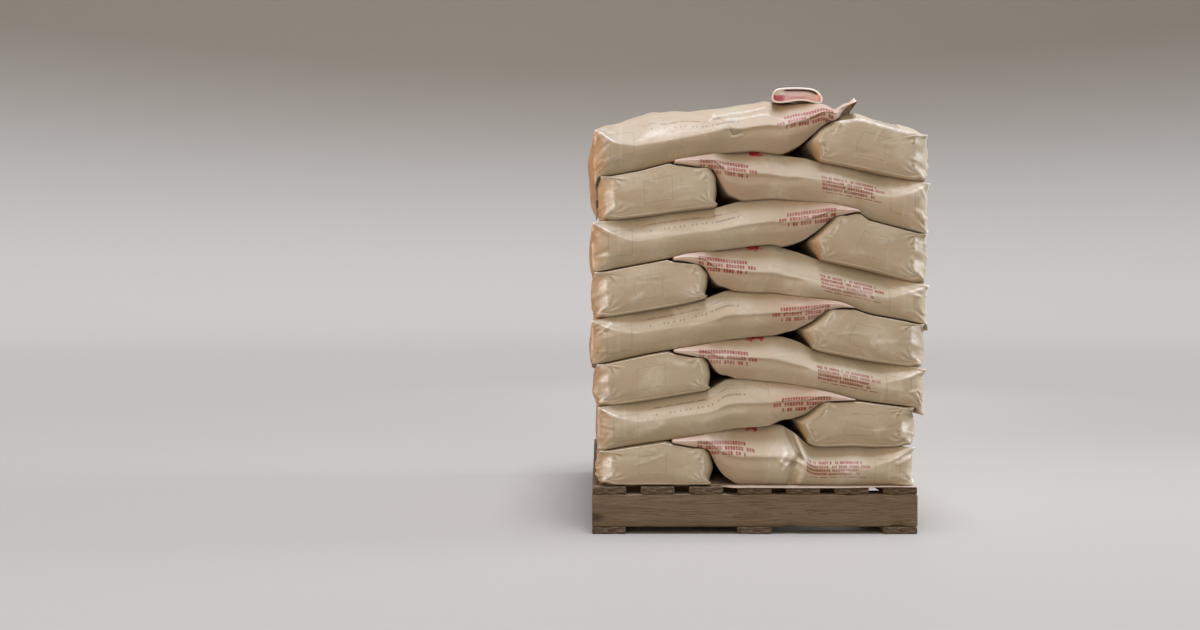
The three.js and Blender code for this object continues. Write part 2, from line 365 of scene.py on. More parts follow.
# %% Section of a sack
LOWER_SLOPE = 0.6  # how far in the side turns under, as a share of the height below its bend
CORNER_ROUND = 0.046  # radius of the upright edges at the block end
BULGE = 0.004  # of the side at mid height
SIDE_GAP = 0.0006  # between two sacks that touch side by side, from each


def ridge_of(sack, a):
    """Share of the height where the gusset crease runs at distance a from the block end."""
    return rounded_line(a, *sack["ridge"], 0.02)


def open_side(sack, a, t, high, seed):
    """How far in an outer side lies, and how pale by rubbing and painted highlight, at distance a and share
    t of the height.
    """
    ridge = ridge_of(sack, a)
    break_at = sack["break_at"]
    sharp = 0.018 + sack["soft"] * smooth_share((a - 0.06) / 0.08) * smooth_share((break_at - a) / 0.1)
    inset = sack["upper_slope"] * high * ramp(t - ridge, sharp)
    low_ridge = 0.05 + 0.2 * smooth_share(a / 0.09)
    inset = inset + LOWER_SLOPE * high * ramp(low_ridge - t, 0.1)
    # The gusset pleat: a sharp step just under the ridge that runs out towards the bottom.
    under = (ridge - t) / 0.38
    pleat = np.clip(under / 0.16, 0, 1) * np.clip((1 - under) / 0.84, 0, 1)
    depth = sack["pleat"] * smooth_share((a - break_at + 0.04) / 0.04) * np.clip(high / 0.1, 0, 1)
    inset = inset + depth * pleat
    inset = inset - BULGE * np.sin(np.pi * np.clip(t, 0, 1)) * np.clip(high / NOMINAL_HIGH, 0, 1)
    # Upright edge at the block end: rounded at mid height, pointed at the upper corner.
    upper, lower = sack["ears"]
    ear = 0.85 * np.exp(-(((1 - t) / upper) ** 2)) + 0.6 * np.exp(-((t / lower) ** 2))
    turn = np.clip(1 - a / CORNER_ROUND, 0, 1)
    inset = inset + CORNER_ROUND * (1 - ear) * (1 - np.sqrt(1 - turn**2))
    q = t * NOMINAL_HIGH
    folds = sum(tent_fold(a, q, *fold) for fold in sack["folds"])
    folds = folds + corner_fan(a, q, 0.07, 3.3, 0.0018, seed * 0.37)
    folds = folds + corner_fan(a, NOMINAL_HIGH - q, 0.08, 2.6, 0.0018, seed * 0.61)
    folds = folds + edge_pinches(a, q, 0.042, 0.0018, seed)
    rough = 0.0009 * crumple(a, q, 0.1, seed) + 0.0009 * waves(a, q * 1.4, 0.17, seed + 5)
    scale = np.clip(high / 0.08, 0.15, 1)
    # Paleness along the crease, the fold crests, the crumples and the edge: partly paper rubbing pale,
    # partly a painted highlight.
    crease = np.clip(1 - np.abs(t - ridge) * high / 0.004, 0, 1)
    crease = crease * (1 - 0.8 * smooth_share((a - 0.04) / 0.06))
    rub_and_highlight = crease + np.clip(folds / 0.004, 0, 1) * 0.4 + np.clip(rough / 0.0022, 0, 1) * 0.25
    rub_and_highlight = rub_and_highlight + edge_rub_and_highlight(a, q, seed)
    return inset - (folds + rough) * scale, rub_and_highlight


def touching_side(a, t, high):
    """How far in a side lies where it touches its neighbour: only its two edges are rounded."""
    inset = 0.5 * high * ramp(t - 0.78, 0.05) + 0.55 * high * ramp(0.16 - t, 0.05)
    turn = np.clip(1 - a / 0.035, 0, 1)
    return inset + 0.022 * (1 - np.sqrt(1 - turn**2)) + SIDE_GAP


def block_face(sack, c, t, width, seed):
    """How far back the block end lies from its foremost point at share c across and t up."""
    dome = (1 - np.abs(2 * c - 1) ** 5) * (1 - (2 * t - 1) ** 2)
    p, q = c * width, t * NOMINAL_HIGH
    back = sack["bulge"] * (1 - dome) + 0.16 * NOMINAL_HIGH * ramp(0.2 - t, 0.03)
    near = np.minimum(p, width - p)
    fans = corner_fan(near, q, 0.06, 3.4, 0.0018, seed * 0.23)
    fans = fans + corner_fan(near, NOMINAL_HIGH - q, 0.06, 2.7, 0.0018, seed * 0.71)
    fans = fans + sum(tent_fold(p, q, *fold) for fold in sack["face_folds"])
    fans = fans + edge_pinches(near, q, 0.034, 0.0022, seed + 4)
    rough = 0.0008 * crumple(p, q, 0.11, seed + 9) + 0.0007 * waves(p, q * 1.3, 0.19, seed + 3)
    inside = smooth_share(near / 0.010) * smooth_share(np.minimum(q, NOMINAL_HIGH - q) / 0.012)
    # Paleness on the fans, crumples and edges, and on the last layer the top edge: partly paper rubbing
    # pale, partly a painted highlight.
    rub_and_highlight = np.clip(fans / 0.003, 0, 1) * 0.6 + np.clip(rough / 0.002, 0, 1) * 0.3
    rub_and_highlight = rub_and_highlight * inside + 0.9 * edge_rub_and_highlight(near, q, seed)
    return back - (fans + rough) * inside, rub_and_highlight + sack["upper_rub_and_highlight"] * np.exp(-(((1 - t) / 0.045) ** 2))


plain_sack = dict(ridge=([0, 1], [0.5, 0.5]), break_at=0.4, pleat=0.01, folds=[], ears=(0.13, 0.10),
                  upper_slope=0.6, soft=0.05)
print("side inset at mid height, 0.3 m along:",
      round(float(open_side(plain_sack, np.array(0.3), np.array(0.5), NOMINAL_HIGH, 1)[0]), 4))

# %% [markdown]
# ## From a section to a closed shell
# Each sack is one skin over a block of (a, c, t): the distance from its block end, the share across
# and the share up. The skin walks once round the unit square of (c, t), and that ring is carried
# from the middle of the block end outwards, along the sack, and in again at the tip. Its two poles
# are closed by fans. A second set of coordinates, in metres on the unfolded paper, goes into a UV
# map with one island for each panel, so that printing and fold lines follow the sack.

# %% Shell builder
NEAR, TOP, FAR, BOTTOM, END = range(5)  # the panels: two sides, top, bottom and block end


def ring(steps):
    """Round the unit square: up the near side, over the top, down the far side and back below."""
    near, top, far, bottom = steps
    c = [np.zeros(near), np.linspace(0, 1, top, False), np.ones(far), np.linspace(1, 0, bottom, False)]
    t = [np.linspace(0, 1, near, False), np.ones(top), np.linspace(1, 0, far, False), np.zeros(bottom)]
    return np.concatenate(c), np.concatenate(t), np.repeat([NEAR, TOP, FAR, BOTTOM], steps)


def skin(name, rings, first, last):
    """One closed mesh: quads between neighbouring rings, and a fan of triangles round either pole.

    Returns the mesh, and for its quads, first fan and last fan the vertex of each corner."""
    rows, cols = rings.shape[:2]
    vertices = np.concatenate([first.reshape(1, 3), rings.reshape(-1, 3), last.reshape(1, 3)])
    r, k = np.mgrid[0 : rows - 1, 0:cols]
    right = (k + 1) % cols
    quads = np.stack([r * cols + k, r * cols + right, (r + 1) * cols + right, (r + 1) * cols + k], -1)
    quads = quads.reshape(-1, 4) + 1
    column = np.arange(cols)
    start = np.stack([np.zeros(cols, int), (column + 1) % cols + 1, column + 1], -1)
    base = (rows - 1) * cols + 1
    finish = np.stack([np.full(cols, rows * cols + 1), column + base, (column + 1) % cols + base], -1)
    triangles = np.concatenate([quads[:, [0, 1, 2]], quads[:, [0, 2, 3]], start, finish])
    p0, p1, p2 = (vertices[triangles[:, i]] for i in range(3))
    if np.einsum("ij,ij->", p0, np.cross(p1, p2)) < 0:  # inside out: turn every face round
        quads, start, finish = quads[:, ::-1], start[:, ::-1], finish[:, ::-1]
    mesh = bpy.data.meshes.new(name)
    faces = quads.tolist() + start.tolist() + finish.tolist()
    mesh.from_pydata(vertices.tolist(), [], faces)
    mesh.polygons.foreach_set("use_smooth", np.ones(len(faces), bool))
    mesh.update()
    return mesh, (quads, start, finish)


def shell(name, point, steps, cap, body, right_handed):
    """The skin of point(a, c, t): rings at shares cap of the block end, then at distances body."""
    c, t, panel = ring(steps)
    shares = np.r_[cap, np.ones(len(body)), 0.55]
    along = np.r_[np.zeros(len(cap)), body, body[-1] + 0.001]
    grid_c = 0.5 + shares[:, None] * (c - 0.5)
    grid_t = 0.5 + shares[:, None] * (t - 0.5)
    grid_a = np.broadcast_to(along[:, None], grid_c.shape)
    on_end = np.arange(len(along))[:, None] < len(cap)
    middle = np.full((1, 1), 0.5)
    first = point(np.zeros((1, 1)), middle, middle, np.ones((1, 1), bool))
    last = point(np.full((1, 1), along[-1]), middle, middle, np.zeros((1, 1), bool))
    xyz, marks, across = point(grid_a, grid_c, grid_t, on_end)
    mesh, (quads, start, finish) = skin(name, xyz, first[0], last[0])
    for mark, values in marks.items():
        values = np.concatenate([first[1][mark].ravel(), values.ravel(), last[1][mark].ravel()])
        mesh.attributes.new(mark, "FLOAT", "POINT").data.foreach_set("value", values)
    # Unfolded coordinates of every corner, by the panel of its face.
    rows, cols = grid_c.shape
    flat = np.zeros((rows * cols + 2, 3))
    flat[1:-1] = np.stack([grid_a, across, grid_t * NOMINAL_HIGH], -1).reshape(-1, 3)
    flat[0], flat[-1] = (0, across.mean(), NOMINAL_HIGH / 2), (along[-1], across.mean(), 0.07)
    row, column = np.divmod(np.arange(len(quads)), cols)
    face_panel = np.where(row < len(cap), END, panel[column])
    panels = np.concatenate([np.repeat(face_panel, 4), np.full(3 * cols, END), np.full(3 * cols, BOTTOM)])
    a, w, high = flat[np.concatenate([quads.ravel(), start.ravel(), finish.ravel()])].T
    side = (panels == NEAR) | (panels == FAR)
    u = np.where(panels == END, w, a)
    v = np.where(side | (panels == END), high, w) + panels
    if not right_handed:  # swap the two sides' islands, so that each carries its own printing
        v = v + np.where(panels == NEAR, FAR, 0) - np.where(panels == FAR, FAR, 0)
    mesh.uv_layers.new(name="paper").data.foreach_set("uv", np.stack([u, v], -1).ravel())
    return mesh


# %% [markdown]
# ## How the sacks of a layer fit together
# Three long sacks lie side by side, and their tapered ends climb over the inner shoulder of two
# cross sacks that lie in line beside them. The next layer is turned round, so that the joints are
# bridged. The climb is a bent line again, and both sacks take their faces from it.

# %% Shoulder and tip
# The cross sacks' inner side from its foot to its top corner, and the underside of the long sacks'
# tapered ends: (how far beyond the inner edge, share of the layer's height), odd and even layers.
SHOULDERS = {-1: [(0.010, 0.0), (0.0, 0.3), (0.005, 0.56), (0.018, 0.7)],
             1: [(0.040, 0.0), (0.0, 0.28), (0.027, 0.46), (0.074, 0.76)]}
CLIMBS = {-1: [(-0.075, 0.0), (-0.030, 0.19), (-0.008, 0.41), (0.004, 0.6), (0.018, 0.72)],
          1: [(-0.080, 0.0), (-0.020, 0.22), (0.0, 0.34), (0.027, 0.5), (0.074, 0.78)]}
TIP_THIN = {-1: 0.009, 1: 0.002}  # the odd layers' tips are folded over and blunt
LAP_START = 0.115  # the two cross sacks overlap from here to the same distance past the middle
LAP_END = 0.150  # where their thin tips end
LAP_THIN = 0.006
# How far that lap is moved to the rear, by layer. Then how far the cross sacks' foot bulges into the
# hollow there, and how much further a toe reaches under the curve of the long sack, odd and even
# layers: (distance, share of the height where it has faded).
LAP_SHIFTS = [0.012, -0.018, 0.0, 0.022, -0.014, -0.024, 0.016, 0.006]
FOOT_BULGE = {-1: (0.013, 0.46), 1: (0.044, 0.37)}
FOOT_TOE = {-1: (0.012, 0.35), 1: (0.012, 0.2)}


def side_of(n):
    """+1 where the cross sacks lie at +X (even layers), -1 where they lie at -X."""
    return 1 if n % 2 == 0 else -1


def block_of(n):
    """Where the long sacks' block end lies, seen from the cross sacks' side."""
    ends = LAYER_ENDS[n - 1]
    return ends["left"] if side_of(n) == 1 else -ends["right"]


def outer_edge(n):
    """How far from the middle the cross sacks' outer side lies."""
    ends = LAYER_ENDS[n - 1]
    return ends["right"] if side_of(n) == 1 else -ends["left"]


def wedge(n, u):
    """Thickness of a long sack past the corner that it climbs: straight from there to the thin tip."""
    ends, side = LAYER_ENDS[n - 1], side_of(n)
    beyond, share = CLIMBS[side][-1]
    corner = ends["inner"] + beyond
    thick = (1 - share) * float(layer_top(n, side * corner, 0.0) - layer_top(n - 1, side * corner, 0.0))
    thin = TIP_THIN[side]
    return thin + (thick - thin) * np.clip((ends["tip"] - u) / (ends["tip"] - corner), 0, 1)


def bed_under(n, x, y):
    """What layer n lies on: the top of the layer below, bridged over its small steps."""
    below = layer_top(n - 1, x, y)
    bridged = layer_top(n - 1, x, y, 0.035) if n > 1 else below
    return np.maximum(below, bridged) + GAP


def underside(n, u, x, y, foot=-1.0):
    """Of a long sack: on its bed, then up the climb to the corner, then the wedge under its top.

    The climb starts no further back from the inner edge than foot."""
    inner = LAYER_ENDS[n - 1]["inner"]
    places = np.array([inner + max(beyond, foot) for beyond, _ in CLIMBS[side_of(n)]])
    shares = np.array([share for _, share in CLIMBS[side_of(n)]])
    low, high = bed_under(n, x, y), layer_top(n, x, y)
    climbed = low + (high - low) * rounded_line(u, places, shares, 0.012)
    past = smooth_share((u - places[-1] + 0.012) / 0.024)
    return climbed + (high - wedge(n, u) - climbed) * past


def cross_top(n, u, x, y):
    """Of a cross sack: under the long sacks' wedges, then level with them again past the tips."""
    past = (u - LAYER_ENDS[n - 1]["tip"]) / 0.02
    return layer_top(n, x, y) - (wedge(n, u) + 0.001) * (1 - smooth_share(past))


LONG_CROWN = 0.033  # how high the free tops of the last long sacks swell in their middle


def long_crown(c, a, length):
    """The free tops of the last layer swell: 1 less (2c - 1) squared, fading at both ends."""
    ends = smooth_share(a / 0.16) * smooth_share((length - a) / 0.3)
    return LONG_CROWN * (1 - (2 * c - 1) ** 2) * (0.25 + 0.75 * ends)


# How high the free tops of the last cross sacks swell, from their inner to their outer side.
CROSS_CROWN = ([0.25, 0.288, 0.37, 0.46, 0.51, 0.535, 0.55], [0.0, 0.032, 0.028, 0.030, 0.031, 0.02, 0.0])


def cross_crown(n, u, y):
    """The same for the two cross sacks and the tips that lie on them, with a dip where they lap."""
    if n < LAYER_COUNT:
        return 0.0
    along = smooth_share((BACK - np.abs(y)) / 0.075) * (1 - 0.5 * np.exp(-((y / 0.12) ** 2)))
    return rounded_line(u, *CROSS_CROWN, 0.012) * along


DOG_EAR_START = 0.248  # how far from the middle the tips start to lift
DOG_EAR_LIFT = 0.046  # of the front corner


def dog_ear(n, row, u, y, c):
    """How far the thin free tips of the last layer lift: all a little, the front corner stands up."""
    if n < LAYER_COUNT:
        return 0.0
    towards_tip = ramp((u - DOG_EAR_START) / (LAYER_ENDS[n - 1]["tip"] - DOG_EAR_START), 0.08)
    corner = DOG_EAR_LIFT * (1 - smooth_share(c / 0.25)) if row == 0 else 0.0
    return towards_tip * (corner + 0.004 + 0.004 * waves(y, u, 0.16, 77))


# %% [markdown]
# ## Making the forty sacks
# A sack's own folds come from seeded chance. On the front sacks a small table says where the crease
# breaks in the photograph, and another gives the folds of the two that are bent most. Panels that
# show get fine steps, and panels that touch a neighbour coarse ones, which keeps the whole stack
# under a million triangles.

# %% Folds of each sack
def chance_folds(rng, break_at, zigzag):
    """Folds that every such sack has, placed a little differently on each."""
    near = rng.uniform(-0.008, 0.008, 8)
    folds = [
        ((0.0, 0.040), (0.085, 0.034 + near[0]), 0.008, 0.0012),
        ((0.084, 0.02), (0.083, 0.125), 0.006, 0.0010),
    ]
    if zigzag > 0.05:
        folds += [
            ((break_at + near[1], 0.070), (break_at - 0.045, 0.132), 0.016, 0.0035, 0.5),
            ((break_at + 0.012, 0.045), (break_at - 0.025 + near[2], 0.006), 0.018, 0.0035, 0.5),
            ((break_at + 0.050, 0.078), (break_at + 0.02 + near[3], 0.132), 0.014, 0.0025),
        ]
    for _ in range(3):
        p0, q0 = rng.uniform(0, 0.02), rng.uniform(0.02, 0.11)
        folds.append(((p0, q0), (p0 + rng.uniform(0.02, 0.045), q0 + rng.uniform(-0.03, 0.03)),
                      rng.uniform(0.006, 0.010), rng.choice([-0.003, 0.0034])))
    for _ in range(5):
        p0, q0 = rng.uniform(0.08, break_at - 0.05), rng.uniform(0.02, 0.12)
        run, rise = rng.uniform(0.06, 0.2), rng.uniform(-0.03, 0.03)
        folds.append(((p0, q0), (p0 + run, q0 + rise), rng.uniform(0.01, 0.022),
                      rng.uniform(-0.002, 0.0022)))
    return folds


def ridge_line(rng, break_at, length, level, zigzag, early):
    """The gusset crease: from the upper corner down, along, down in a zigzag, and up to the tip."""
    a = [-0.05, 0, *early[0], break_at - 0.02, break_at, break_at + 0.018, break_at + 0.13, length]
    t = [1.3, 1.0, *early[1], level, level - zigzag, level - 0.9 * zigzag, level + 0.02, 0.56]
    return np.array(a), np.array(t) + np.r_[0, 0, rng.uniform(-0.015, 0.015, len(a) - 2)]


def face_creases(rng):
    """Creases on a block end: a few slanting ones."""
    folds = []
    for _ in range(5):
        p0, q0 = rng.uniform(0.03, 0.3), rng.uniform(0.02, 0.12)
        folds.append(((p0, q0), (p0 + rng.uniform(0.03, 0.14), q0 + rng.uniform(-0.03, 0.03)),
                      rng.uniform(0.008, 0.016), rng.uniform(-0.0013, 0.0013)))
    return folds


# Where a front sack's crease breaks in the photograph: distance from its block end, the crease's
# share of the height along the body, and how deep the zigzag is.
FRONT_BREAKS = {1: (0.372, 0.50, 0.03), 2: (0.400, 0.52, 0.0), 3: (0.395, 0.50, 0.02),
                4: (0.415, 0.50, 0.0), 5: (0.420, 0.42, 0.03), 6: (0.425, 0.46, 0.0),
                7: (0.430, 0.52, 0.03), 8: (0.437, 0.52, 0.04)}
# The first stretch of the crease on the front sack of the last layer, which sinks low before it rises.
LAST_EARLY = ((0.062, 0.13, 0.21, 0.30), (0.58, 0.45, 0.41, 0.45))
# Folds of the two front sacks that are bent most: from, to (distance from the block end, height),
# half width and lift, where a negative lift is a valley.
FRONT_FOLDS = {
    8: [((0.380, 0.118), (0.546, 0.127), 0.006, 0.0035), ((0.417, 0.101), (0.555, 0.105), 0.007, 0.0035),
        ((0.420, 0.078), (0.441, 0.051), 0.006, -0.0045), ((0.441, 0.051), (0.462, 0.055), 0.006, -0.0045),
        ((0.434, 0.043), (0.466, 0.048), 0.006, 0.0035), ((0.366, 0.108), (0.384, 0.129), 0.007, 0.0040),
        ((0.392, 0.112), (0.408, 0.096), 0.006, -0.0035), ((0.13, 0.074), (0.42, 0.079), 0.004, 0.0012)],
    1: [((0.386, 0.134), (0.357, 0.080), 0.013, -0.0150), ((0.362, 0.136), (0.340, 0.088), 0.012, 0.0060),
        ((0.357, 0.080), (0.378, 0.055), 0.012, -0.0120), ((0.378, 0.055), (0.386, 0.008), 0.012, -0.0110),
        ((0.398, 0.078), (0.418, 0.056), 0.006, 0.0045), ((0.418, 0.056), (0.400, 0.050), 0.006, 0.0045),
        ((0.394, 0.056), (0.412, 0.036), 0.006, 0.0045), ((0.346, 0.060), (0.358, 0.010), 0.012, 0.0060)],
}
# What a sack of an odd, an even and the last layer starts from: reach of the ears at the upper and
# lower corner, as shares of the height, how pale the block end's top edge is by rubbing and by a
# painted highlight, slope of the side above its crease, and how soft the crease is.
ODD_SACK = dict(ears=(0.13, 0.10), upper_rub_and_highlight=0.0, upper_slope=0.6, soft=0.06)
EVEN_SACK = dict(ears=(0.13, 0.10), upper_rub_and_highlight=0.0, upper_slope=0.48, soft=0.03)
LAST_SACK = dict(ears=(0.22, 0.12), upper_rub_and_highlight=2.0, upper_slope=0.95, soft=0.01)
# How far the block ends bulge past their edges, by layer.
BLOCK_BULGE = [0.006, 0.007, 0.006, 0.008, 0.008, 0.010, 0.010, 0.022]
END_DROOP = 0.024  # an overhanging block end sinks beside the sack below


def end_droop(n, x, y):
    """How far a block end may sink: fully past the sack below, and where that one's shoulder slopes
    away, but not over its two upper corners or the lap in its middle."""
    if n == 1:
        return 0.0
    outer = outer_edge(n - 1)
    past = smooth_share((np.abs(x) - outer - 0.003) / 0.008)
    sloping = smooth_share((np.abs(x) - outer + 0.036) / 0.03)
    sloping = sloping * smooth_share((BACK - 0.05 - np.abs(y)) / 0.09)
    sloping = sloping * smooth_share((np.abs(y - LAP_SHIFTS[n - 2]) - 0.13) / 0.06)
    return END_DROOP * np.maximum(past, sloping)


def new_sack(n, key, length):
    """The facts that the section functions read for one sack."""
    rng = np.random.default_rng(1000 * n + key)
    chance = (rng.uniform(0.36, 0.46), rng.uniform(0.45, 0.54), max(rng.uniform(-0.15, 0.15), 0))
    break_at, level, zigzag = FRONT_BREAKS[n] if key == 0 else chance
    tone = rng.uniform(0, 1)
    early = LAST_EARLY if (n, key) == (LAYER_COUNT, 0) else ((0.065, 0.13), (0.72, level + 0.04))
    folds = chance_folds(rng, break_at, zigzag) + (FRONT_FOLDS.get(n, []) if key == 0 else [])
    kind = LAST_SACK if n == LAYER_COUNT else ODD_SACK if n % 2 else EVEN_SACK
    return dict(
        kind,
        tone=tone,
        break_at=break_at,
        ridge=ridge_line(rng, break_at, length, level, zigzag, early),
        pleat=0.003 + 0.06 * zigzag,
        folds=folds,
        face_folds=face_creases(rng),
        bulge=BLOCK_BULGE[n - 1],
        seed=int(rng.integers(1, 900)),
    )


# %% Long sacks
def long_sack(n, row):
    """A long sack as a function of (a, c, t): x along the pallet, y across, z between bed and top."""
    side, block = side_of(n), block_of(n)
    length = LAYER_ENDS[n - 1]["tip"] - block
    sack = new_sack(n, row, length)
    front = FRONT + row * ROW_DEPTH
    first_open, last_open, uppermost = row == 0, row == 2, n == LAYER_COUNT
    # The middle sack fills the hollow beside the cross sacks, so that none of it shows light.
    foot = -0.006 if row == 1 else -1.0

    def point(a, c, t, on_end):
        back, end_rub_and_highlight = block_face(sack, c, t, ROW_DEPTH, sack["seed"])
        a = np.where(on_end, 0.0, a)
        u = block + np.where(on_end, back, sack["bulge"] + a * (1 - sack["bulge"] / length))
        x = side * u
        row_middle = np.full_like(x, front + ROW_DEPTH / 2)
        high = layer_top(n, x, row_middle) - underside(n, u, x, row_middle, foot)
        rub_and_highlight = np.zeros_like(x)
        insets = []
        for is_open, seed in ((first_open, 0), (last_open, 31)):
            if is_open:
                inset, mark = open_side(sack, a, t, high, sack["seed"] + seed)
                if seed == 0 and uppermost:  # the ear's lower edge turns in, so its face leans out
                    inset = inset + 0.045 * (1 - t) * smooth_share((u - 0.235) / 0.06)
                at_side = c < 0.001 if seed == 0 else c > 0.999
                rub_and_highlight = np.where(at_side, mark, rub_and_highlight)
            else:
                inset = touching_side(a, t, high)
            insets.append(inset)
        across = insets[0] + (ROW_DEPTH - insets[0] - insets[1]) * c
        y = front + across
        low, top = underside(n, u, x, y, foot), layer_top(n, x, y)
        # The block end: its top edge falls away a little, and it sinks where it overhangs.
        ear = np.exp(-((c / 0.07) ** 2)) + np.exp(-(((1 - c) / 0.07) ** 2))
        turn = np.clip(1 - a / 0.05, 0, 1)
        top = top - 0.012 * (1 - ear) * turn**2
        low = low - end_droop(n, x, y) * smooth_share(1 - a / 0.06)
        low = low + 0.007 * np.clip(1 - a / 0.014, 0, 1) ** 2
        swell = waves(x, y, 0.1, sack["seed"]) * 0.0022 + 0.002 * crumple(x, y, 0.12, sack["seed"])
        if uppermost:
            top = top + long_crown(c, a, length) + swell * smooth_share((top - low) / 0.05)
        z = low + (top - low) * t + dog_ear(n, row, u, y, c) + cross_crown(n, u, y)
        marks = dict(rub_and_highlight=np.where(on_end, end_rub_and_highlight, rub_and_highlight), below=(1 - t) * (top - low),
                     from_tip=length - a, tone=np.full_like(x, sack["tone"]))
        return np.stack([x, y, z], -1), marks, c * ROW_DEPTH

    # Fine steps on the panels that show, and most of all on the two front sacks that are bent most.
    steps = (40 if first_open else 14, 40 if uppermost else 14, 34 if last_open else 14, 12)
    along_steps = [170 if n in FRONT_FOLDS else 124, 50 if uppermost else 30, 90][row]
    body = np.r_[np.linspace(0, 0.06, 14, False), np.linspace(0.06, length - 0.08, along_steps),
                 np.linspace(length - 0.08, length, 13)[1:]]
    cap = np.r_[np.linspace(0.08, 0.8, 9, False), np.linspace(0.8, 1, 6, False)]
    name = ["front", "middle", "rear"][row]
    return shell(f"sack_{n}_long_{name}", point, steps, cap, body, right_handed=side == 1)


# %% Cross sacks
def inner_edge(n, share):
    """How far from the middle the inner side lies at a share of the cross sack's own height."""
    beyond, shares = np.array(SHOULDERS[side_of(n)]).T
    return LAYER_ENDS[n - 1]["inner"] + rounded_line(share, shares / shares[-1], beyond, 0.08)


def cross_sack(n, place):
    """A cross sack as a function of (a, c, t): y along the pallet, x from its inner to outer side."""
    side, uppermost = side_of(n), n == LAYER_COUNT
    ends = LAYER_ENDS[n - 1]
    outer = outer_edge(n)
    towards = 1 if place == "front" else -1
    length = BACK + LAP_END + towards * LAP_SHIFTS[n - 1]
    sack = new_sack(n, 3 if place == "front" else 4, length)
    sack["bulge"] = 0.004
    sack["ears"] = (0.08, 0.09)
    sack["upper_slope"] = min(sack["upper_slope"], 0.55)

    def point(a, c, t, on_end):
        back, end_rub_and_highlight = block_face(sack, c, t, outer - ends["inner"], sack["seed"])
        a = np.where(on_end, 0.0, a)
        reach = np.where(on_end, back, sack["bulge"] + a * (1 - sack["bulge"] / length))
        y = towards * (reach - BACK)
        in_lap = y - LAP_SHIFTS[n - 1]
        thin = LAP_THIN * smooth_share((in_lap * towards + LAP_END + 0.04) / 0.04)
        # Height share of the face between the two overlapping ends, the same for both.
        share = smooth_share((in_lap + LAP_START) / (2 * LAP_START))
        lowest, highest = (share, 1.0) if place == "front" else (0.0, share)
        level = lowest + (highest - lowest) * t
        seed = sack["seed"]
        rough_high = 0.135 * np.broadcast_to(highest - lowest, y.shape)  # near enough for its folds
        inset, mark = open_side(sack, a, t, rough_high, seed)
        turn = np.clip(1 - a / CORNER_ROUND, 0, 1)
        pointed = np.exp(-(((level - lowest) / 0.12) ** 2))  # the lower corner stands out as an ear
        inner = inner_edge(n, level) + CORNER_ROUND * (0.5 - 0.62 * pointed) * (1 - np.sqrt(1 - turn**2))
        rough = 0.002 * waves(y, t * 0.2, 0.12, seed + 7) + 0.0015 * crumple(y, t * 0.14, 0.09, seed + 8)
        inner = inner + rough * smooth_share(t * 6) * smooth_share((1 - t) * 6)
        for reach_out, fades_at in (FOOT_BULGE[side], FOOT_TOE[side]):
            inner = inner - reach_out * np.clip(1 - level / fades_at, 0, 1) * np.exp(-((y / 0.12) ** 2))
        u = inner + (outer - inset - inner) * c
        x = side * u
        bed, cover = bed_under(n, x, y), cross_top(n, u, x, y)
        cover = cover + cross_crown(n, u, y)
        face = (bed + LAP_THIN) + (cover - bed - 2 * LAP_THIN) * share
        if place == "front":
            low, top = np.where(thin > 0, np.maximum(bed + thin, face * (thin >= LAP_THIN)), bed), cover
            low = np.where(in_lap < -LAP_START, bed + thin, low) + 0.001 * (thin > 0)
        else:
            low, top = bed, np.where(in_lap > LAP_START, cover - thin, face)
        ear = np.exp(-((c / 0.06) ** 2)) + np.exp(-(((1 - c) / 0.06) ** 2))
        turn = np.clip(1 - a / 0.07, 0, 1)
        top = top - (0.0 if uppermost else 0.007) * (1 - 0.8 * ear) * turn**2
        low = low + 0.006 * np.clip(1 - a / 0.014, 0, 1) ** 2
        low = low + 0.012 * smooth_share((c - 0.88) / 0.12) * turn**2
        if uppermost:
            swell = waves(x, y, 0.1, seed) * 0.0022 + 0.002 * crumple(x, y, 0.12, seed)
            top = top + swell * smooth_share((top - low) / 0.05)
        z = low + (top - low) * t
        rub_and_highlight = np.where(on_end, end_rub_and_highlight, np.where(c > 0.999, mark, 0.0))
        marks = dict(rub_and_highlight=rub_and_highlight, below=(1 - t) * (top - low), from_tip=length - a,
                     tone=np.full_like(x, sack["tone"]))
        return np.stack([x, y, z], -1), marks, c * (outer - ends["inner"])

    steps = (28, 48, 32, 30) if uppermost else (28, 34, 30, 26)
    body = np.r_[np.linspace(0, 0.06, 13, False), np.linspace(0.06, length - 0.03, 50),
                 np.linspace(length - 0.03, length, 5)[1:]]
    cap = np.r_[np.linspace(0.06, 0.8, 11, False), np.linspace(0.8, 1, 7, False)]
    outer_is_right = side * towards > 0
    return shell(f"sack_{n}_cross_{place}", point, steps, cap, body, right_handed=not outer_is_right)


# %% Build the stack
sacks = {}
for n in range(1, LAYER_COUNT + 1):
    for row, row_name in enumerate(("front", "middle", "rear")):
        sacks[f"sack_{n}_long_{row_name}"] = long_sack(n, row)
    for place in ("front", "rear"):
        sacks[f"sack_{n}_cross_{place}"] = cross_sack(n, place)
triangle_total = sum(len(m.loops) - 2 * len(m.polygons) for m in sacks.values())
print(len(sacks), "sacks,", triangle_total, "triangles, largest",
      max(len(m.loops) - 2 * len(m.polygons) for m in sacks.values()))


def place_piece(name, mesh, material, *nodes, slot):
    """Puts a finished mesh in the scene as a piece that rides on the stack and replaces CAD nodes."""
    piece = bpy.data.objects.new(name, mesh)
    bpy.context.scene.collection.objects.link(piece)
    mesh.materials.append(material)
    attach(piece, "root")
    if nodes:
        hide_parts(*nodes)
    return piece
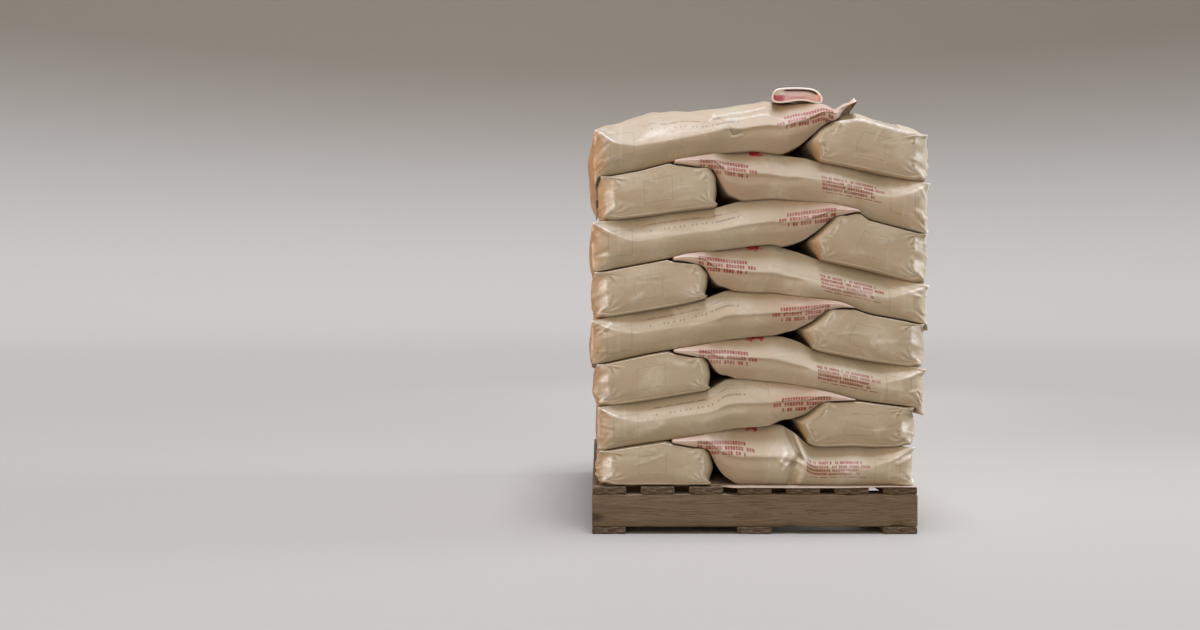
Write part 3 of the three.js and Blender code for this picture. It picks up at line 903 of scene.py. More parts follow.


# %% [markdown]
# ## Kraft paper
# Sack kraft is unbleached pine pulp with a little size: a warm grey-brown sheet with long fibres
# along the web, matt but with a soft shine where it is stretched. Colour clouds slowly, creases rub
# pale and fray, and the same pale colour is painted on crests and edges as a highlight where they
# catch the light. Fine crinkles catch the light. The flat tips are paler, and behind them, where the
# printing rubs off, the paper is a little red.
#
# Printing is shown as plain bars in a red and a dark brown ink: rows cut into equal blocks, of which
# a random share stays bare. They follow the unfolded paper, so they bend with the sack. The thin
# outlines near the block end, a little darker than the paper, are the pressed edges of the
# folded-over bottom patch.

# %% Patterns in shader nodes
MATH_KINDS = ["ADD", "SUBTRACT", "MULTIPLY", "MULTIPLY_ADD", "MAXIMUM", "ABSOLUTE", "FLOOR", "FRACT"]
ADD, SUBTRACT, MULTIPLY, MULTIPLY_ADD, MAXIMUM, ABSOLUTE, FLOOR, FRACT = (
    dict(operation=kind) for kind in MATH_KINDS)
COLOUR_MIX = dict(data_type="RGBA")


def between(tree, value, low, high, soft=0.0007):
    """1 where a value lies between low and high, else 0: a steep rise times a steep fall."""
    rise = add(tree, "ShaderNodeMapRange", Value=value, From_Min=low - soft, From_Max=low + soft)
    fall = add(tree, "ShaderNodeMapRange", Value=value, From_Min=high - soft, From_Max=high + soft,
               To_Min=1.0, To_Max=0.0)
    return add(tree, "ShaderNodeMath", MULTIPLY, in0=rise.outputs[0], in1=fall.outputs[0]).outputs[0]


def outline(tree, across, up, left, right, low, high, half_width=0.0011):
    """A thin rectangle: where the larger of the distances past its sides and its ends is near nought."""
    off = []
    for value, start, end in ((across, left, right), (up, low, high)):
        centred = add(tree, "ShaderNodeMath", SUBTRACT, in0=value, in1=(start + end) / 2)
        size = add(tree, "ShaderNodeMath", ABSOLUTE, in0=centred.outputs[0])
        off.append(add(tree, "ShaderNodeMath", SUBTRACT, in0=size.outputs[0], in1=(end - start) / 2))
    edge = add(tree, "ShaderNodeMath", MAXIMUM, in0=off[0].outputs[0], in1=off[1].outputs[0])
    return between(tree, edge.outputs[0], -half_width, half_width)


def printed_rows(tree, along, down, start, end, first, pitch, rows, block, ragged, bare=0.13):
    """Rows of blocks: a row where (down - first) / pitch is near a whole number, cut into cells of
    one block's length, of which a random share stays bare, with a gap and a ragged end."""
    row = add(tree, "ShaderNodeMath", MULTIPLY_ADD, in0=down, in1=1 / pitch, in2=0.5 - first / pitch)
    number = add(tree, "ShaderNodeMath", FLOOR, in0=row.outputs[0])
    beside = add(tree, "ShaderNodeMath", FRACT, in0=row.outputs[0])
    cell = add(tree, "ShaderNodeMath", MULTIPLY, in0=along, in1=1 / block)
    cell_number = add(tree, "ShaderNodeMath", FLOOR, in0=cell.outputs[0])
    in_cell = add(tree, "ShaderNodeMath", FRACT, in0=cell.outputs[0])
    place = add(tree, "ShaderNodeCombineXYZ", X=cell_number.outputs[0], Y=number.outputs[0])
    chance = add(tree, "ShaderNodeTexWhiteNoise", Vector=place.outputs[0])
    row_chance = add(tree, "ShaderNodeTexWhiteNoise", dict(noise_dimensions="1D"), W=number.outputs[0])
    row_end = add(tree, "ShaderNodeMath", MULTIPLY_ADD, in0=row_chance.outputs[0], in1=ragged, in2=along)
    parts = [
        between(tree, row.outputs[0], 0, rows, 0.01),
        between(tree, beside.outputs[0], 0.14, 0.86, 0.05),
        between(tree, in_cell.outputs[0], 0.10, 0.90, 0.06),
        between(tree, chance.outputs[0], bare, 2.0),
        between(tree, along, start, end),
        between(tree, row_end.outputs[0], start, end),
    ]
    total = parts[0]
    for part in parts[1:]:
        total = add(tree, "ShaderNodeMath", MULTIPLY, in0=total, in1=part).outputs[0]
    return total


# %% Kraft paper: where things are on a sack
kraft_paper, tree = new_material("natural kraft paper, multiwall sack")
object_place = add(tree, "ShaderNodeTexCoord").outputs["Object"]
paper_place = add(tree, "ShaderNodeUVMap", dict(uv_map="paper"))
split = add(tree, "ShaderNodeSeparateXYZ", Vector=paper_place.outputs[0])
along, panel_up = split.outputs["X"], split.outputs["Y"]
rub_and_highlight, below, from_tip, tone = (
    add(tree, "ShaderNodeAttribute", dict(attribute_name=mark)).outputs["Fac"]
    for mark in ("rub_and_highlight", "below", "from_tip", "tone"))
# The island of each panel starts at the panel's own number, so a band of the map picks it out.
right_side = between(tree, panel_up, NEAR - 0.5, NEAR + 0.5)
left_side = between(tree, panel_up, FAR - 0.1, FAR + 0.3)
on_top = between(tree, panel_up, TOP - 0.1, TOP + 0.6)
on_end = between(tree, panel_up, END - 0.1, END + 0.5)

# %% Kraft paper: colour of the sheet
# Clouds of colour are about 170 mm wide. Real fibres, 3 mm long and thinner than a hair, are too fine
# to show, so they are drawn as coarse as streaks of 29 by 2.4 mm along the web.
clouds = add(tree, "ShaderNodeTexNoise", Vector=object_place, Scale=6.0, Detail=5.0, Roughness=0.6)
clouded = add(tree, "ShaderNodeMix", COLOUR_MIX, in0=clouds.outputs["Fac"],
              in6=linear("#a29277"), in7=linear("#b5a68b")).outputs[2]
sheet_colour = add(tree, "ShaderNodeMix", dict(data_type="RGBA", blend_type="MULTIPLY"), in0=tone,
                   in6=clouded, in7=linear("#f2eee6")).outputs[2]
web = add(tree, "ShaderNodeMapping", Vector=paper_place.outputs[0], Scale=(35, 420, 1))
fibres = add(tree, "ShaderNodeTexNoise", Vector=web.outputs[0], Scale=1.0, Detail=4.0, Roughness=0.7)
# Over that: dark fibres everywhere, a reddish stretch behind the flat tip, and the pale tip itself.
for value, start, end, share_start, share_end, colour in (
        (fibres.outputs["Fac"], 0.35, 0.75, 0.0, 0.28, "#8b7557"),
        (from_tip, 0.12, 0.34, 0.42, 0.0, "#9f7a64"),
        (from_tip, 0.03, 0.15, 0.50, 0.0, "#c8b0a0")):
    share = add(tree, "ShaderNodeMapRange", Value=value, From_Min=start, From_Max=end,
                To_Min=share_start, To_Max=share_end).outputs[0]
    sheet_colour = add(tree, "ShaderNodeMix", COLOUR_MIX, in0=share, in6=sheet_colour,
                       in7=linear(colour)).outputs[2]

# %% Kraft paper: printing and pressed outlines
# Bars for the printing: three rows behind the tip that slant with it, four short rows and a line on
# the left side, two broken rows on the right side, and six rows on the top.
slanted = add(tree, "ShaderNodeMath", MULTIPLY_ADD, in0=from_tip, in1=-0.215, in2=below).outputs[0]
tip_rows = printed_rows(tree, from_tip, slanted, start=0.075, end=0.262, first=0.001, pitch=0.0155,
                        rows=3, block=0.0085, ragged=0.04)
text_rows = printed_rows(tree, along, below, start=0.135, end=0.340, first=0.048, pitch=0.0112,
                         rows=4, block=0.0052, ragged=-0.05)
last_row = printed_rows(tree, along, below, start=0.150, end=0.335, first=0.092, pitch=0.0035,
                        rows=1, block=0.030, ragged=0.0, bare=0.0)
top_rows = printed_rows(tree, along, panel_up, start=0.02, end=0.30, first=TOP + 0.18, pitch=0.018,
                        rows=6, block=0.009, ragged=0.06)
code_row = printed_rows(tree, along, below, start=0.145, end=0.44, first=0.026, pitch=0.0042,
                        rows=1, block=0.034, ragged=0.0, bare=0.45)
late_row = printed_rows(tree, along, below, start=0.17, end=0.46, first=0.047, pitch=0.0085,
                        rows=1, block=0.0062, ragged=0.0, bare=0.5)

# A ragged red blot on the crest: a noise with spots of 12 mm pushes its edges about.
blots = add(tree, "ShaderNodeTexNoise", Vector=object_place, Scale=80.0, Detail=2.0).outputs["Fac"]
mark_along = add(tree, "ShaderNodeMath", MULTIPLY_ADD, in0=blots, in1=0.06, in2=from_tip).outputs[0]
mark_down = add(tree, "ShaderNodeMath", MULTIPLY_ADD, in0=blots, in1=0.04, in2=below).outputs[0]
red_blot = add(tree, "ShaderNodeMath", MULTIPLY, in0=between(tree, mark_along, 0.263, 0.303, 0.002),
               in1=between(tree, mark_down, -0.01, 0.032, 0.003)).outputs[0]

# The pressed outlines: a rectangle on either side, one on the block end, and a seam along the right.
patch_line = outline(tree, along, below, left=0.05, right=0.125, low=0.036, high=0.113)
end_line = outline(tree, along, panel_up, left=0.145, right=0.250, low=END + 0.032, high=END + 0.102)
seam_line = add(tree, "ShaderNodeMath", MULTIPLY, in0=between(tree, below, 0.0275, 0.0295, 0.0006),
                in1=between(tree, along, 0.155, 0.46)).outputs[0]

# The ink has taken unevenly, in spots of about 11 mm.
faded = add(tree, "ShaderNodeTexNoise", Vector=object_place, Scale=90.0, Detail=2.0)
ink_share = add(tree, "ShaderNodeMapRange", Value=faded.outputs["Fac"], From_Min=0.3, From_Max=0.6,
                To_Min=0.55, To_Max=1.0).outputs[0]

# What lies on the sheet, one over the other: its patterns with the panels that carry them, how
# strong it is, and its colour. The pressed outlines come last, and they dent the paper as well.
either_side = add(tree, "ShaderNodeMath", ADD, in0=right_side, in1=left_side).outputs[0]
SHEET_MARKS = [
    ([(tip_rows, either_side), (text_rows, left_side), (last_row, left_side)], ink_share, "#7c2f24"),
    ([(red_blot, left_side)], 1.0, "#9d2226"),
    ([(code_row, right_side), (late_row, right_side), (top_rows, on_top)], 0.55, "#4d463e"),
    ([(patch_line, either_side), (end_line, on_end), (seam_line, right_side)], 0.45, "#806848"),
]
printed = sheet_colour
for patterns, strength, colour in SHEET_MARKS:
    covered = 0.0
    for pattern, panels in patterns:
        shown = add(tree, "ShaderNodeMath", MULTIPLY, in0=pattern, in1=panels).outputs[0]
        covered = add(tree, "ShaderNodeMath", MAXIMUM, in0=shown, in1=covered).outputs[0]
    share = add(tree, "ShaderNodeMath", MULTIPLY, in0=covered, in1=strength).outputs[0]
    printed = add(tree, "ShaderNodeMix", COLOUR_MIX, in0=share, in6=printed, in7=linear(colour)).outputs[2]
pressed = covered
print("marks on the sheet:", len(SHEET_MARKS))

# %% Kraft paper: edges pale by rubbing and painted highlight, crinkles and shine
# Creases rub pale where the shell is marked for it, and so does the block end's top edge, frayed in
# spots of 17 mm; that pale colour is partly rubbing and partly a painted highlight on crests and
# edges. Crinkles of 33 mm and finer raise the sheet, and the pressed outlines dent it.
end_edge = add(tree, "ShaderNodeMath", MULTIPLY, in0=between(tree, along, -0.01, 0.0032, 0.001), in1=on_top)
all_rub_and_highlight = add(tree, "ShaderNodeMath", dict(operation="ADD", use_clamp=True), in0=rub_and_highlight,
               in1=end_edge.outputs[0])
frayed = add(tree, "ShaderNodeTexNoise", Vector=object_place, Scale=60.0, Detail=4.0, Roughness=0.7)
fray_share = add(tree, "ShaderNodeMapRange", Value=frayed.outputs["Fac"], From_Min=0.35, From_Max=0.65,
                 To_Min=0.35, To_Max=0.95)
rub_and_highlight_share = add(tree, "ShaderNodeMath", MULTIPLY, in0=all_rub_and_highlight.outputs[0], in1=fray_share.outputs[0])
rubbed_and_highlit = add(tree, "ShaderNodeMix", COLOUR_MIX, in0=rub_and_highlight_share.outputs[0], in6=printed,
             in7=linear("#f3ecdf"))
crinkle = add(tree, "ShaderNodeTexNoise", Vector=object_place, Scale=30.0, Detail=7.0, Roughness=0.58,
              Distortion=0.6)
paper_grain = add(tree, "ShaderNodeMath", MULTIPLY_ADD, in0=fibres.outputs["Fac"], in1=0.06,
                  in2=crinkle.outputs["Fac"])
raised = add(tree, "ShaderNodeMath", MULTIPLY_ADD, in0=pressed, in1=-0.12, in2=paper_grain.outputs[0])
bump = add(tree, "ShaderNodeBump", Strength=0.30, Distance=0.004, Height=raised.outputs[0])
shader = add(tree, "ShaderNodeBsdfPrincipled", Base_Color=rubbed_and_highlit.outputs[2], Roughness=0.67,
             IOR=1.45, Specular_IOR_Level=0.4, Normal=bump.outputs[0])
add(tree, "ShaderNodeOutputMaterial", Surface=shader.outputs[0])
print("kraft paper nodes:", len(tree.nodes))

for name, mesh in sacks.items():
    sack_piece = place_piece(name + "_paper", mesh, kraft_paper, name, slot="sack_paper")

# %% [markdown]
# ## The open sleeve on top
# On the front sack of the last layer a paper filling sleeve stands open towards the viewer: a
# shallow pocket of paper, glued down behind, whose mouth gapes in a low arch with a turned-back rim.
# It is one closed skin again: over the pocket's end, out along the lining, round the rim, and back
# along the outside. Every ring has the outline of the mouth, which flattens on to the sack the
# further back it lies.

# %% Open sleeve
# The mouth in metres as (x, z), from its lower left corner along the bottom, up and back over the top.
MOUTH = np.array([
    (0.064, 1.341), (0.075, 1.338), (0.092, 1.337), (0.112, 1.340), (0.135, 1.344), (0.155, 1.345),
    (0.175, 1.342), (0.195, 1.337), (0.209, 1.334), (0.2135, 1.338), (0.2125, 1.345), (0.208, 1.353),
    (0.200, 1.361), (0.190, 1.367), (0.176, 1.371), (0.150, 1.3725), (0.120, 1.3725), (0.098, 1.372),
    (0.082, 1.371), (0.070, 1.367), (0.064, 1.360), (0.063, 1.350)])
MOUTH_RAISED = 0.001
MOUTH_FRONT = -0.552
SLEEVE_BACK = -0.455
POCKET_DEPTH = 0.14  # share of the way back where the pocket ends
RIM_WIDE = 0.005  # the paper turned back round the mouth
MOUTH_LEAN = 0.016  # how far the mouth's top stands in front of its foot
# Heights on the sleeve: where it starts to lean, its lower wall, where its creases start, where the
# stain gives way to the flap and the painted shade under the rim, and up to where the mouth's foot
# has its thin line of painted shade.
LEAN_FROM = 1.335
WALL_LOW = 1.332
CREASED_FROM = 1.34
FLAP_FROM = 1.357
CREASE_UNDER = 1.3555


def smooth_loop(points, count):
    """A closed line through corners, rounded: each point is the mean of the loop over a short run."""
    step = np.linspace(0, len(points), count, False)
    offsets = np.linspace(-0.9, 0.9, 7)
    around = np.arange(-2, len(points) + 3)
    columns = [np.interp((step[:, None] + offsets) % len(points), around,
                         points[around % len(points), i]).mean(1) for i in range(points.shape[1])]
    return np.stack(columns, -1)


def open_sleeve():
    """Rings over the pocket's end, out to the mouth, round the rim, and back to the glued end."""
    count = 88
    mouth = smooth_loop(MOUTH, count) + (0, MOUTH_RAISED)
    middle = mouth.mean(0)
    tangent = np.roll(mouth, -1, 0) - np.roll(mouth, 1, 0)
    outward = np.stack([tangent[:, 1], -tangent[:, 0]], -1)
    outward = outward / np.linalg.norm(outward, axis=1, keepdims=True)
    # Depth behind the mouth, and distance off the lining, along the path from inside to outside.
    rim = np.linspace(0, np.pi, 8)
    depth = np.r_[np.full(6, POCKET_DEPTH), np.linspace(POCKET_DEPTH, 0.02, 8), -0.022 * np.sin(rim), 0.05,
                  np.linspace(0.06, 1, 14)]
    off = np.r_[np.zeros(14), RIM_WIDE / 2 * (1 - np.cos(rim)), 0.0045, np.linspace(0.0018, 0.0012, 14)]
    spread = np.r_[np.linspace(0.1, 0.95, 6), np.ones(len(depth) - 6)][:, None]
    lean = MOUTH_LEAN * np.clip((mouth[:, 1] - LEAN_FROM) / 0.035, 0, 1)
    x = middle[0] + (mouth[:, 0] - middle[0]) * spread + off[:, None] * outward[:, 0]
    z = middle[1] + (mouth[:, 1] - middle[1]) * spread + off[:, None] * outward[:, 1]
    share = smooth_share(depth)[:, None]
    y = MOUTH_FRONT - lean + (SLEEVE_BACK - MOUTH_FRONT + lean) * depth[:, None]
    narrow = 1 - 0.12 * share
    x = middle[0] + (x - middle[0]) * narrow
    # Where it is glued down it follows the top of the sack, its two walls close together.
    c = (y - FRONT) / ROW_DEPTH
    ends = LAYER_ENDS[-1]
    sack_top = layer_top(LAYER_COUNT, x, y) + long_crown(c, x - ends["left"], ends["tip"] - ends["left"])
    upper = smooth_share((z - WALL_LOW) / 0.03)
    flat = sack_top - 0.001 + 0.005 * upper + off[:, None]
    creased = 0.0022 * np.abs(waves(x, 0.3 * y, 0.035, 91)) + 0.0015 * np.abs(crumple(x, y, 0.05, 92))
    z = z * (1 - share) + flat * share + creased * smooth_share(share * 3) * (z > CREASED_FROM)
    rings = np.stack([x, y, z], -1)
    mesh, _ = skin("open_sleeve", rings, rings[0].mean(0), rings[-1].mean(0))
    # Where each finish lies: the lining and the rim, the red stain low at the left, the pale flap above
    # that, a dark line of painted shade under the rim, where the pocket's ceiling is in shadow, and a
    # thin line of painted shade along the mouth's foot.
    row = np.arange(len(depth))[:, None]
    left = smooth_share((0.104 - x) / 0.012)
    high_up = smooth_share((z - FLAP_FROM) / 0.006)
    inner = (row < 15) * 1.0
    # A thin dark line of painted shade along the mouth's foot, where it meets the sack.
    foot = smooth_share((CREASE_UNDER - mouth[:, 1]) / 0.004) * (row > 10) * (row < 14)
    # The dark line under the rim is painted shade: the pocket's ceiling there lies in shadow.
    marks = dict(rim=(row > 13) * (row < 24) * 1.0, lining=inner, stain=inner * left * (1 - high_up),
                 flap=inner * left * high_up, crease=0.6 * foot * (1 - left),
                 glue=smooth_share((row - 4) / 2) * (row < 14) * (1 - left) * high_up)
    for mark, values in marks.items():
        values = np.broadcast_to(values, x.shape).ravel()
        mesh.attributes.new(mark, "FLOAT", "POINT").data.foreach_set("value", np.r_[values[0], values, 0.0])
    return mesh


# %% Sleeve paper
# Brown kraft outside, and the bleached inner ply turned out at the rim, which looks nearly white. The
# lining is stained pink, and painted paler as if lit through the thin paper, red at its lower left
# where ink has run, with a flap folded in above that. A dark line of painted shade lies under the
# rim, and a thin one along the mouth's foot. The brown is spotted, the largest spots 22 mm wide.
sleeve_paper, tree = new_material("kraft paper with a bleached inner ply, glued sleeve")
object_place = add(tree, "ShaderNodeTexCoord").outputs["Object"]
spots = add(tree, "ShaderNodeTexNoise", Vector=object_place, Scale=45.0, Detail=5.0, Roughness=0.6)
outside = add(tree, "ShaderNodeMix", COLOUR_MIX, in0=spots.outputs["Fac"], in6=linear("#a8977b"),
              in7=linear("#bcab90"))
sleeve_colour = outside.outputs[2]
# The lining's pale pink is partly painted light, as if lit through the thin paper; the two darkest colours
# are painted shade.
for mark, colour in (("rim", "#f4ecdf"), ("lining", "#f9dad3"), ("stain", "#d0727a"), ("flap", "#f6ebd9"),
                     ("crease", "#7a5a50"), ("glue", "#3b302a")):
    share = add(tree, "ShaderNodeAttribute", dict(attribute_name=mark)).outputs["Fac"]
    sleeve_colour = add(tree, "ShaderNodeMix", COLOUR_MIX, in0=share, in6=sleeve_colour,
                        in7=linear(colour)).outputs[2]
bump = add(tree, "ShaderNodeBump", Strength=0.25, Distance=0.002, Height=spots.outputs["Fac"])
shader = add(tree, "ShaderNodeBsdfPrincipled", Base_Color=sleeve_colour, Roughness=0.65,
             IOR=1.45, Specular_IOR_Level=0.4, Normal=bump.outputs[0])
add(tree, "ShaderNodeOutputMaterial", Surface=shader.outputs[0])
sleeve = place_piece("sack_8_open_sleeve", open_sleeve(), sleeve_paper, slot="sack_paper")
print("open sleeve faces:", len(sleeve.data.polygons))

# %% [markdown]
# ## The pallet's boards
# A two-way stringer pallet of rough-sawn softwood: seven deck boards and three bottom boards on
# three stringers. Sawn boards are straight, but their corners are knocked in, their faces are rough
# and their cut ends ragged. Each board is a rounded rectangle carried along its length, and every
# dent goes inwards from the size that the frame gives. Its own coordinates along and round the
# board let the grain run the right way on each.

# %% Boards
BOARD_CORNER = 0.004
CHAMFER = 0.0035  # along the cut ends
OWN_GRAIN = 7.3  # how far apart two boards lie in the pattern, so that no two are alike
END_GRAIN = 5.0  # where the cut ends lie in the grain map, off to one side


def board_section(wide, high, flats=(7, 3)):
    """Round a rectangle with rounded corners: four quarter arcs with straight runs between them."""
    arc = np.linspace(0, np.pi / 2, 4)
    corners = [(1, 1), (-1, 1), (-1, -1), (1, -1)]
    parts = []
    for quarter, (sx, sy) in enumerate(corners):
        centre = np.array([sx * (wide / 2 - BOARD_CORNER), sy * (high / 2 - BOARD_CORNER)])
        turn = arc + quarter * np.pi / 2
        bend = centre + BOARD_CORNER * np.stack([np.cos(turn), np.sin(turn)], -1)
        run = (wide if quarter % 2 == 0 else high) - 2 * BOARD_CORNER
        direction = np.array([-np.sin(turn[-1]), np.cos(turn[-1])])
        steps = np.linspace(0, run, flats[quarter % 2] + 2)[1:-1]
        parts += [bend, bend[-1] + steps[:, None] * direction]
    return np.concatenate(parts)


def board(name, low, high, lengthways, seed):
    """A sawn board between two corners of its box, lengthways along axis 0 or 1."""
    low, high = np.array(low), np.array(high)
    size, centre = high - low, (low + high) / 2
    sideways = 1 - lengthways
    section = board_section(size[sideways], size[2])
    run = np.r_[0, np.cumsum(np.linalg.norm(np.roll(section, -1, 0) - section, axis=1))]
    length = size[lengthways]
    count = int(length / 0.02)
    along = np.r_[np.zeros(5), 0.001, CHAMFER, np.linspace(0.012, length - 0.012, count),
                  length - CHAMFER, length - 0.001, np.full(5, length)]
    shrink = np.r_[np.linspace(0.15, 0.94, 5), 0.975, 1.0, np.ones(count), 1.0, 0.975,
                   np.linspace(0.94, 0.15, 5)]
    p, q = section[:, 0] * shrink[:, None], section[:, 1] * shrink[:, None]
    s = np.broadcast_to(along[:, None], p.shape)
    # Knocks: at the corners of the section, where a slow wave along the board is high.
    at_corner = np.clip(1 - np.hypot(size[sideways] / 2 - np.abs(section[:, 0]),
                                     size[2] / 2 - np.abs(section[:, 1])) / 0.012, 0, 1)
    which = np.sign(section[:, 0]) * 2 + np.sign(section[:, 1])
    knocks = np.clip(waves(s, which * 0.31, 0.09, seed) - 0.7, 0, 1.2) * at_corner * 0.006
    sawn = np.clip(0.0005 + 0.0005 * waves(s, run[:-1] + 0.0 * s, 0.05, seed + 1), 0, None)
    inward = 1 - (knocks + sawn) / np.maximum(np.hypot(p, q), 0.01)
    near_end = np.minimum(s, length - s)
    ragged = 0.003 * np.clip(waves(p * 3, q * 3, 0.02, seed + 2), 0, 1) * np.clip(1 - near_end / 0.01, 0, 1)
    towards_middle = np.where(s < length / 2, 1, -1)
    points = np.empty(p.shape + (3,))
    points[..., lengthways] = low[lengthways] + s + ragged * towards_middle
    points[..., sideways] = centre[sideways] + p * inward
    points[..., 2] = centre[2] + q * inward
    mesh, (quads, _, _) = skin(name, points, points[0].mean(0), points[-1].mean(0))
    # Grain coordinates: along and round the board, and across its cut ends.
    cols = p.shape[1]
    row, column = np.divmod(np.arange(len(quads)), cols)
    r = row[:, None] + np.array([0, 0, 1, 1])
    k = column[:, None] + np.array([0, 1, 1, 0])
    if quads[0, 0] > quads[0, 3]:
        r, k = r[:, ::-1], k[:, ::-1]
    cut = (row < 5) | (row > len(along) - 7)
    u = np.where(cut[:, None], p[r, k % cols] + END_GRAIN, along[r] + OWN_GRAIN * seed)
    v = np.where(cut[:, None], q[r, k % cols], run[k])
    tips = np.zeros((6 * cols, 2)) + (END_GRAIN, 0)
    uv = np.concatenate([np.stack([u, v], -1).reshape(-1, 2), tips])
    mesh.uv_layers.new(name="grain").data.foreach_set("uv", uv.ravel())
    return mesh


# %% [markdown]
# ## Weathered softwood
# Pallet softwood goes from straw to grey-brown: the sun greys the surface, dirt fills the saw marks,
# and the resin-dark knots stay. Growth rings show as long wavering lines along the board and as arcs
# on its cut ends, about 3 to 6 mm apart. It scatters light evenly, with hardly any shine. Wood fibres
# are too fine to show, so they are drawn as streaks of 70 by 2 mm, and as splinters of 29 by 3 mm on
# the cut ends. The sun's grey lies in patches of 110 mm, and knots are about 70 by 26 mm.

# %% Pallet wood material
pallet_wood, tree = new_material("weathered rough-sawn softwood")
object_place = add(tree, "ShaderNodeTexCoord").outputs["Object"]
grain_place = add(tree, "ShaderNodeUVMap", dict(uv_map="grain")).outputs[0]
split = add(tree, "ShaderNodeSeparateXYZ", Vector=grain_place)
cut_end = between(tree, split.outputs["X"], END_GRAIN - 0.5, END_GRAIN + 0.5)
ring_place = add(tree, "ShaderNodeMapping", Vector=grain_place, Scale=(1.4, 26.0, 1.0))
rings_noise = add(tree, "ShaderNodeTexNoise", Vector=ring_place.outputs[0], Scale=1.0, Detail=3.0,
                  Distortion=0.8)
ring_count = add(tree, "ShaderNodeMath", MULTIPLY, in0=rings_noise.outputs["Fac"], in1=14.0)
ring_share = add(tree, "ShaderNodeMath", FRACT, in0=ring_count.outputs[0])
late_wood = add(tree, "ShaderNodeMapRange", Value=ring_share.outputs[0], From_Min=0.55, From_Max=1.0,
                To_Min=0.0, To_Max=0.6)
fibre_place = add(tree, "ShaderNodeMapping", Vector=grain_place, Scale=(14.0, 520.0, 1.0))
fibre = add(tree, "ShaderNodeTexNoise", Vector=fibre_place.outputs[0], Scale=1.0, Detail=5.0)
greyed = add(tree, "ShaderNodeTexNoise", Vector=object_place, Scale=9.0, Detail=6.0, Roughness=0.65)
fibre_share = add(tree, "ShaderNodeMapRange", Value=fibre.outputs["Fac"], From_Min=0.4, From_Max=0.75,
                  To_Min=0.0, To_Max=0.45)
knot_place = add(tree, "ShaderNodeMapping", Vector=grain_place, Scale=(2.6, 7.0, 1.0))
knots = add(tree, "ShaderNodeTexVoronoi", Vector=knot_place.outputs[0], Scale=1.0)
knot_share = add(tree, "ShaderNodeMapRange", Value=knots.outputs["Distance"], From_Min=0.05,
                 From_Max=0.13, To_Min=0.85, To_Max=0.0)
wood = add(tree, "ShaderNodeMix", COLOUR_MIX, in0=greyed.outputs["Fac"], in6=linear("#594732"),
           in7=linear("#6d5b46")).outputs[2]
for share, colour in ((late_wood, "#413120"), (fibre_share, "#8c7860"), (knot_share, "#38291b")):
    wood = add(tree, "ShaderNodeMix", COLOUR_MIX, in0=share.outputs[0], in6=wood,
               in7=linear(colour)).outputs[2]
splinter_place = add(tree, "ShaderNodeMapping", Vector=grain_place, Scale=(35.0, 330.0, 1.0))
splinters = add(tree, "ShaderNodeTexNoise", Vector=splinter_place.outputs[0], Scale=1.0, Detail=4.0)
splinter_share = add(tree, "ShaderNodeMapRange", Value=splinters.outputs["Fac"], From_Min=0.50,
                     From_Max=0.80)
end_colour = add(tree, "ShaderNodeMix", COLOUR_MIX, in0=splinter_share.outputs[0],
                 in6=linear("#4f3f2e"), in7=linear("#a3927a"))
wood = add(tree, "ShaderNodeMix", COLOUR_MIX, in0=cut_end, in6=wood,
           in7=end_colour.outputs[2]).outputs[2]
saw_height = add(tree, "ShaderNodeMath", MULTIPLY_ADD, in0=late_wood.outputs[0], in1=0.8,
                 in2=fibre.outputs["Fac"])
bump = add(tree, "ShaderNodeBump", Strength=0.6, Distance=0.002, Height=saw_height.outputs[0])
shader = add(tree, "ShaderNodeBsdfPrincipled", Base_Color=wood, Roughness=0.88, IOR=1.5,
             Specular_IOR_Level=0.25, Normal=bump.outputs[0])
add(tree, "ShaderNodeOutputMaterial", Surface=shader.outputs[0])

BOARD_NODES = ([(f"deck_board_{i}", 1) for i in range(1, 8)]
               + [(f"stringer_{row}", 0) for row in ("front", "middle", "rear")]
               + [(f"bottom_board_{column}", 1) for column in ("left", "middle", "right")])
for seed, (node, lengthways) in enumerate(BOARD_NODES, 1):
    mesh = board(node + "_wood", *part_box(node), lengthways, seed)
    place_piece(node + "_wood", mesh, pallet_wood, node, slot="pallet_wood")
print("boards:", len(BOARD_NODES))

# %% [markdown]
# ## The slip sheet
# A thin sheet of kraft board between the deck and the first layer. The load presses it flat, but
# where it looks out from under the sacks its edge waves and curls down over the deck's edge.

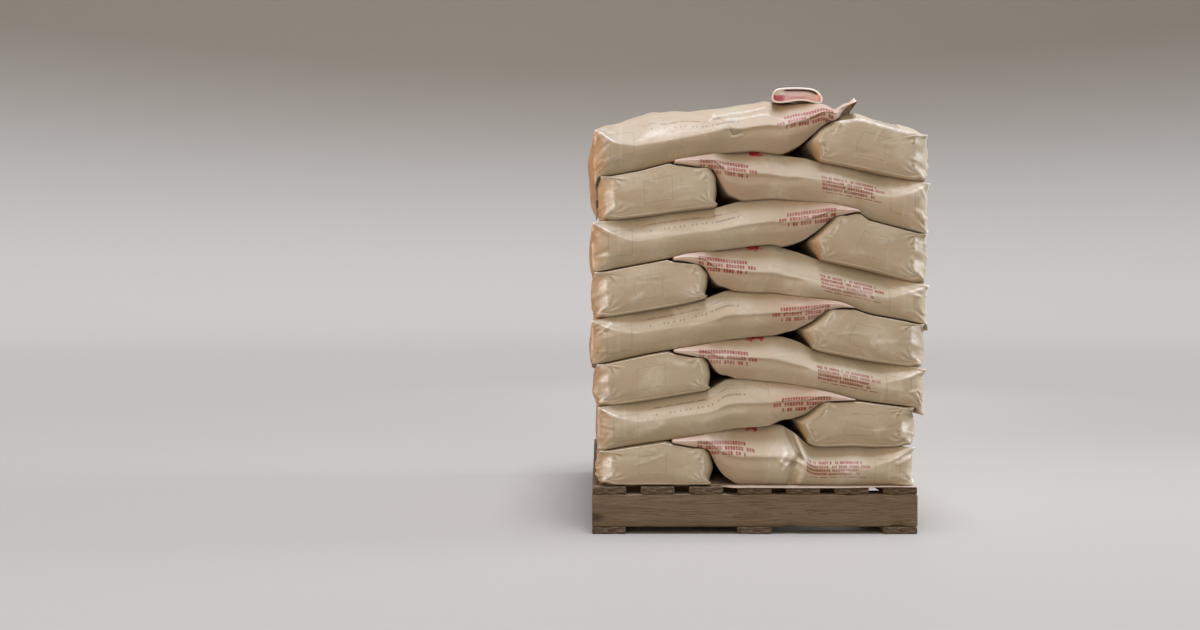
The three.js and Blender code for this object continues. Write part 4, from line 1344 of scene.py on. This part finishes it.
# %% Slip sheet
def slip_sheet(low, high, thick=0.0015):
    """A thin slab: level inside, and over the last fortieth of the way out its rim curls down and
    waves, by three v squared less two v cubed."""
    ring_steps = 200
    way = np.linspace(0, 4, ring_steps, False)
    px = np.clip(np.abs((way - 1.5 + 2) % 4 - 2) - 0.5, 0, 1)
    py = np.clip(np.abs((way - 2.5 + 2) % 4 - 2) - 0.5, 0, 1)
    share = np.r_[np.linspace(0.02, 0.9, 8), np.linspace(0.93, 1.0, 6)]
    inside = np.r_[share, 1.0005, share[::-1]]
    lower = np.r_[np.zeros(len(share)), 0.5, np.ones(len(share))]
    # It is laid a little to the right: its left edge and the left half of its front edge lie hidden
    # under the sacks, and the rest of its front edge looks out.
    left, right = low[0] + 0.010, high[0] + 0.003
    deep = high[1] - low[1] + 0.024
    x = 0.5 * (left + right) + (right - left) * (px - 0.5) * inside[:, None]
    y = 0.5 * (low[1] + high[1]) + deep * (py - 0.5) * inside[:, None]
    near_rim = smooth_share((inside[:, None] - 0.9) / 0.1)
    y = y + 0.034 * smooth_share((-0.06 - x) / 0.06) * smooth_share((-0.5 - y) / 0.05) * near_rim
    wave = 0.0012 * waves(x, y, 0.25, 5) - 0.003
    z = high[2] - 0.0008 - thick * lower[:, None] + smooth_share((inside[:, None] - 0.975) / 0.025) * wave
    rings = np.stack([x, y, z], -1)
    mesh, _ = skin("slip_sheet_board", rings, rings[0].mean(0), rings[-1].mean(0))
    return mesh


# %% Kraft board material
# Unbleached board: a pinkish brown with flecks of 14 mm and finer, a dusty matt surface, and darker
# scuffs in patches of 125 mm.
kraft_board, tree = new_material("kraft board, thin slip sheet")
object_place = add(tree, "ShaderNodeTexCoord").outputs["Object"]
flecks = add(tree, "ShaderNodeTexNoise", Vector=object_place, Scale=70.0, Detail=6.0, Roughness=0.7)
board_colour = add(tree, "ShaderNodeMix", COLOUR_MIX, in0=flecks.outputs["Fac"],
                   in6=linear("#ac9984"), in7=linear("#93806b"))
scuffs = add(tree, "ShaderNodeTexNoise", Vector=object_place, Scale=8.0, Detail=4.0)
scuff_share = add(tree, "ShaderNodeMapRange", Value=scuffs.outputs["Fac"], From_Min=0.5, From_Max=0.7,
                  To_Min=0.0, To_Max=0.4)
board_colour = add(tree, "ShaderNodeMix", COLOUR_MIX, in0=scuff_share.outputs[0],
                   in6=board_colour.outputs[2], in7=linear("#7a6854"))
bump = add(tree, "ShaderNodeBump", Strength=0.2, Distance=0.001, Height=flecks.outputs["Fac"])
shader = add(tree, "ShaderNodeBsdfPrincipled", Base_Color=board_colour.outputs[2], Roughness=0.8,
             IOR=1.45, Specular_IOR_Level=0.3, Normal=bump.outputs[0])
add(tree, "ShaderNodeOutputMaterial", Surface=shader.outputs[0])
sheet_mesh = slip_sheet(*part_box("slip_sheet"))
place_piece("slip_sheet_board", sheet_mesh, kraft_board, "slip_sheet", slot="sheet_paper")
print("slip sheet faces:", len(sheet_mesh.polygons))
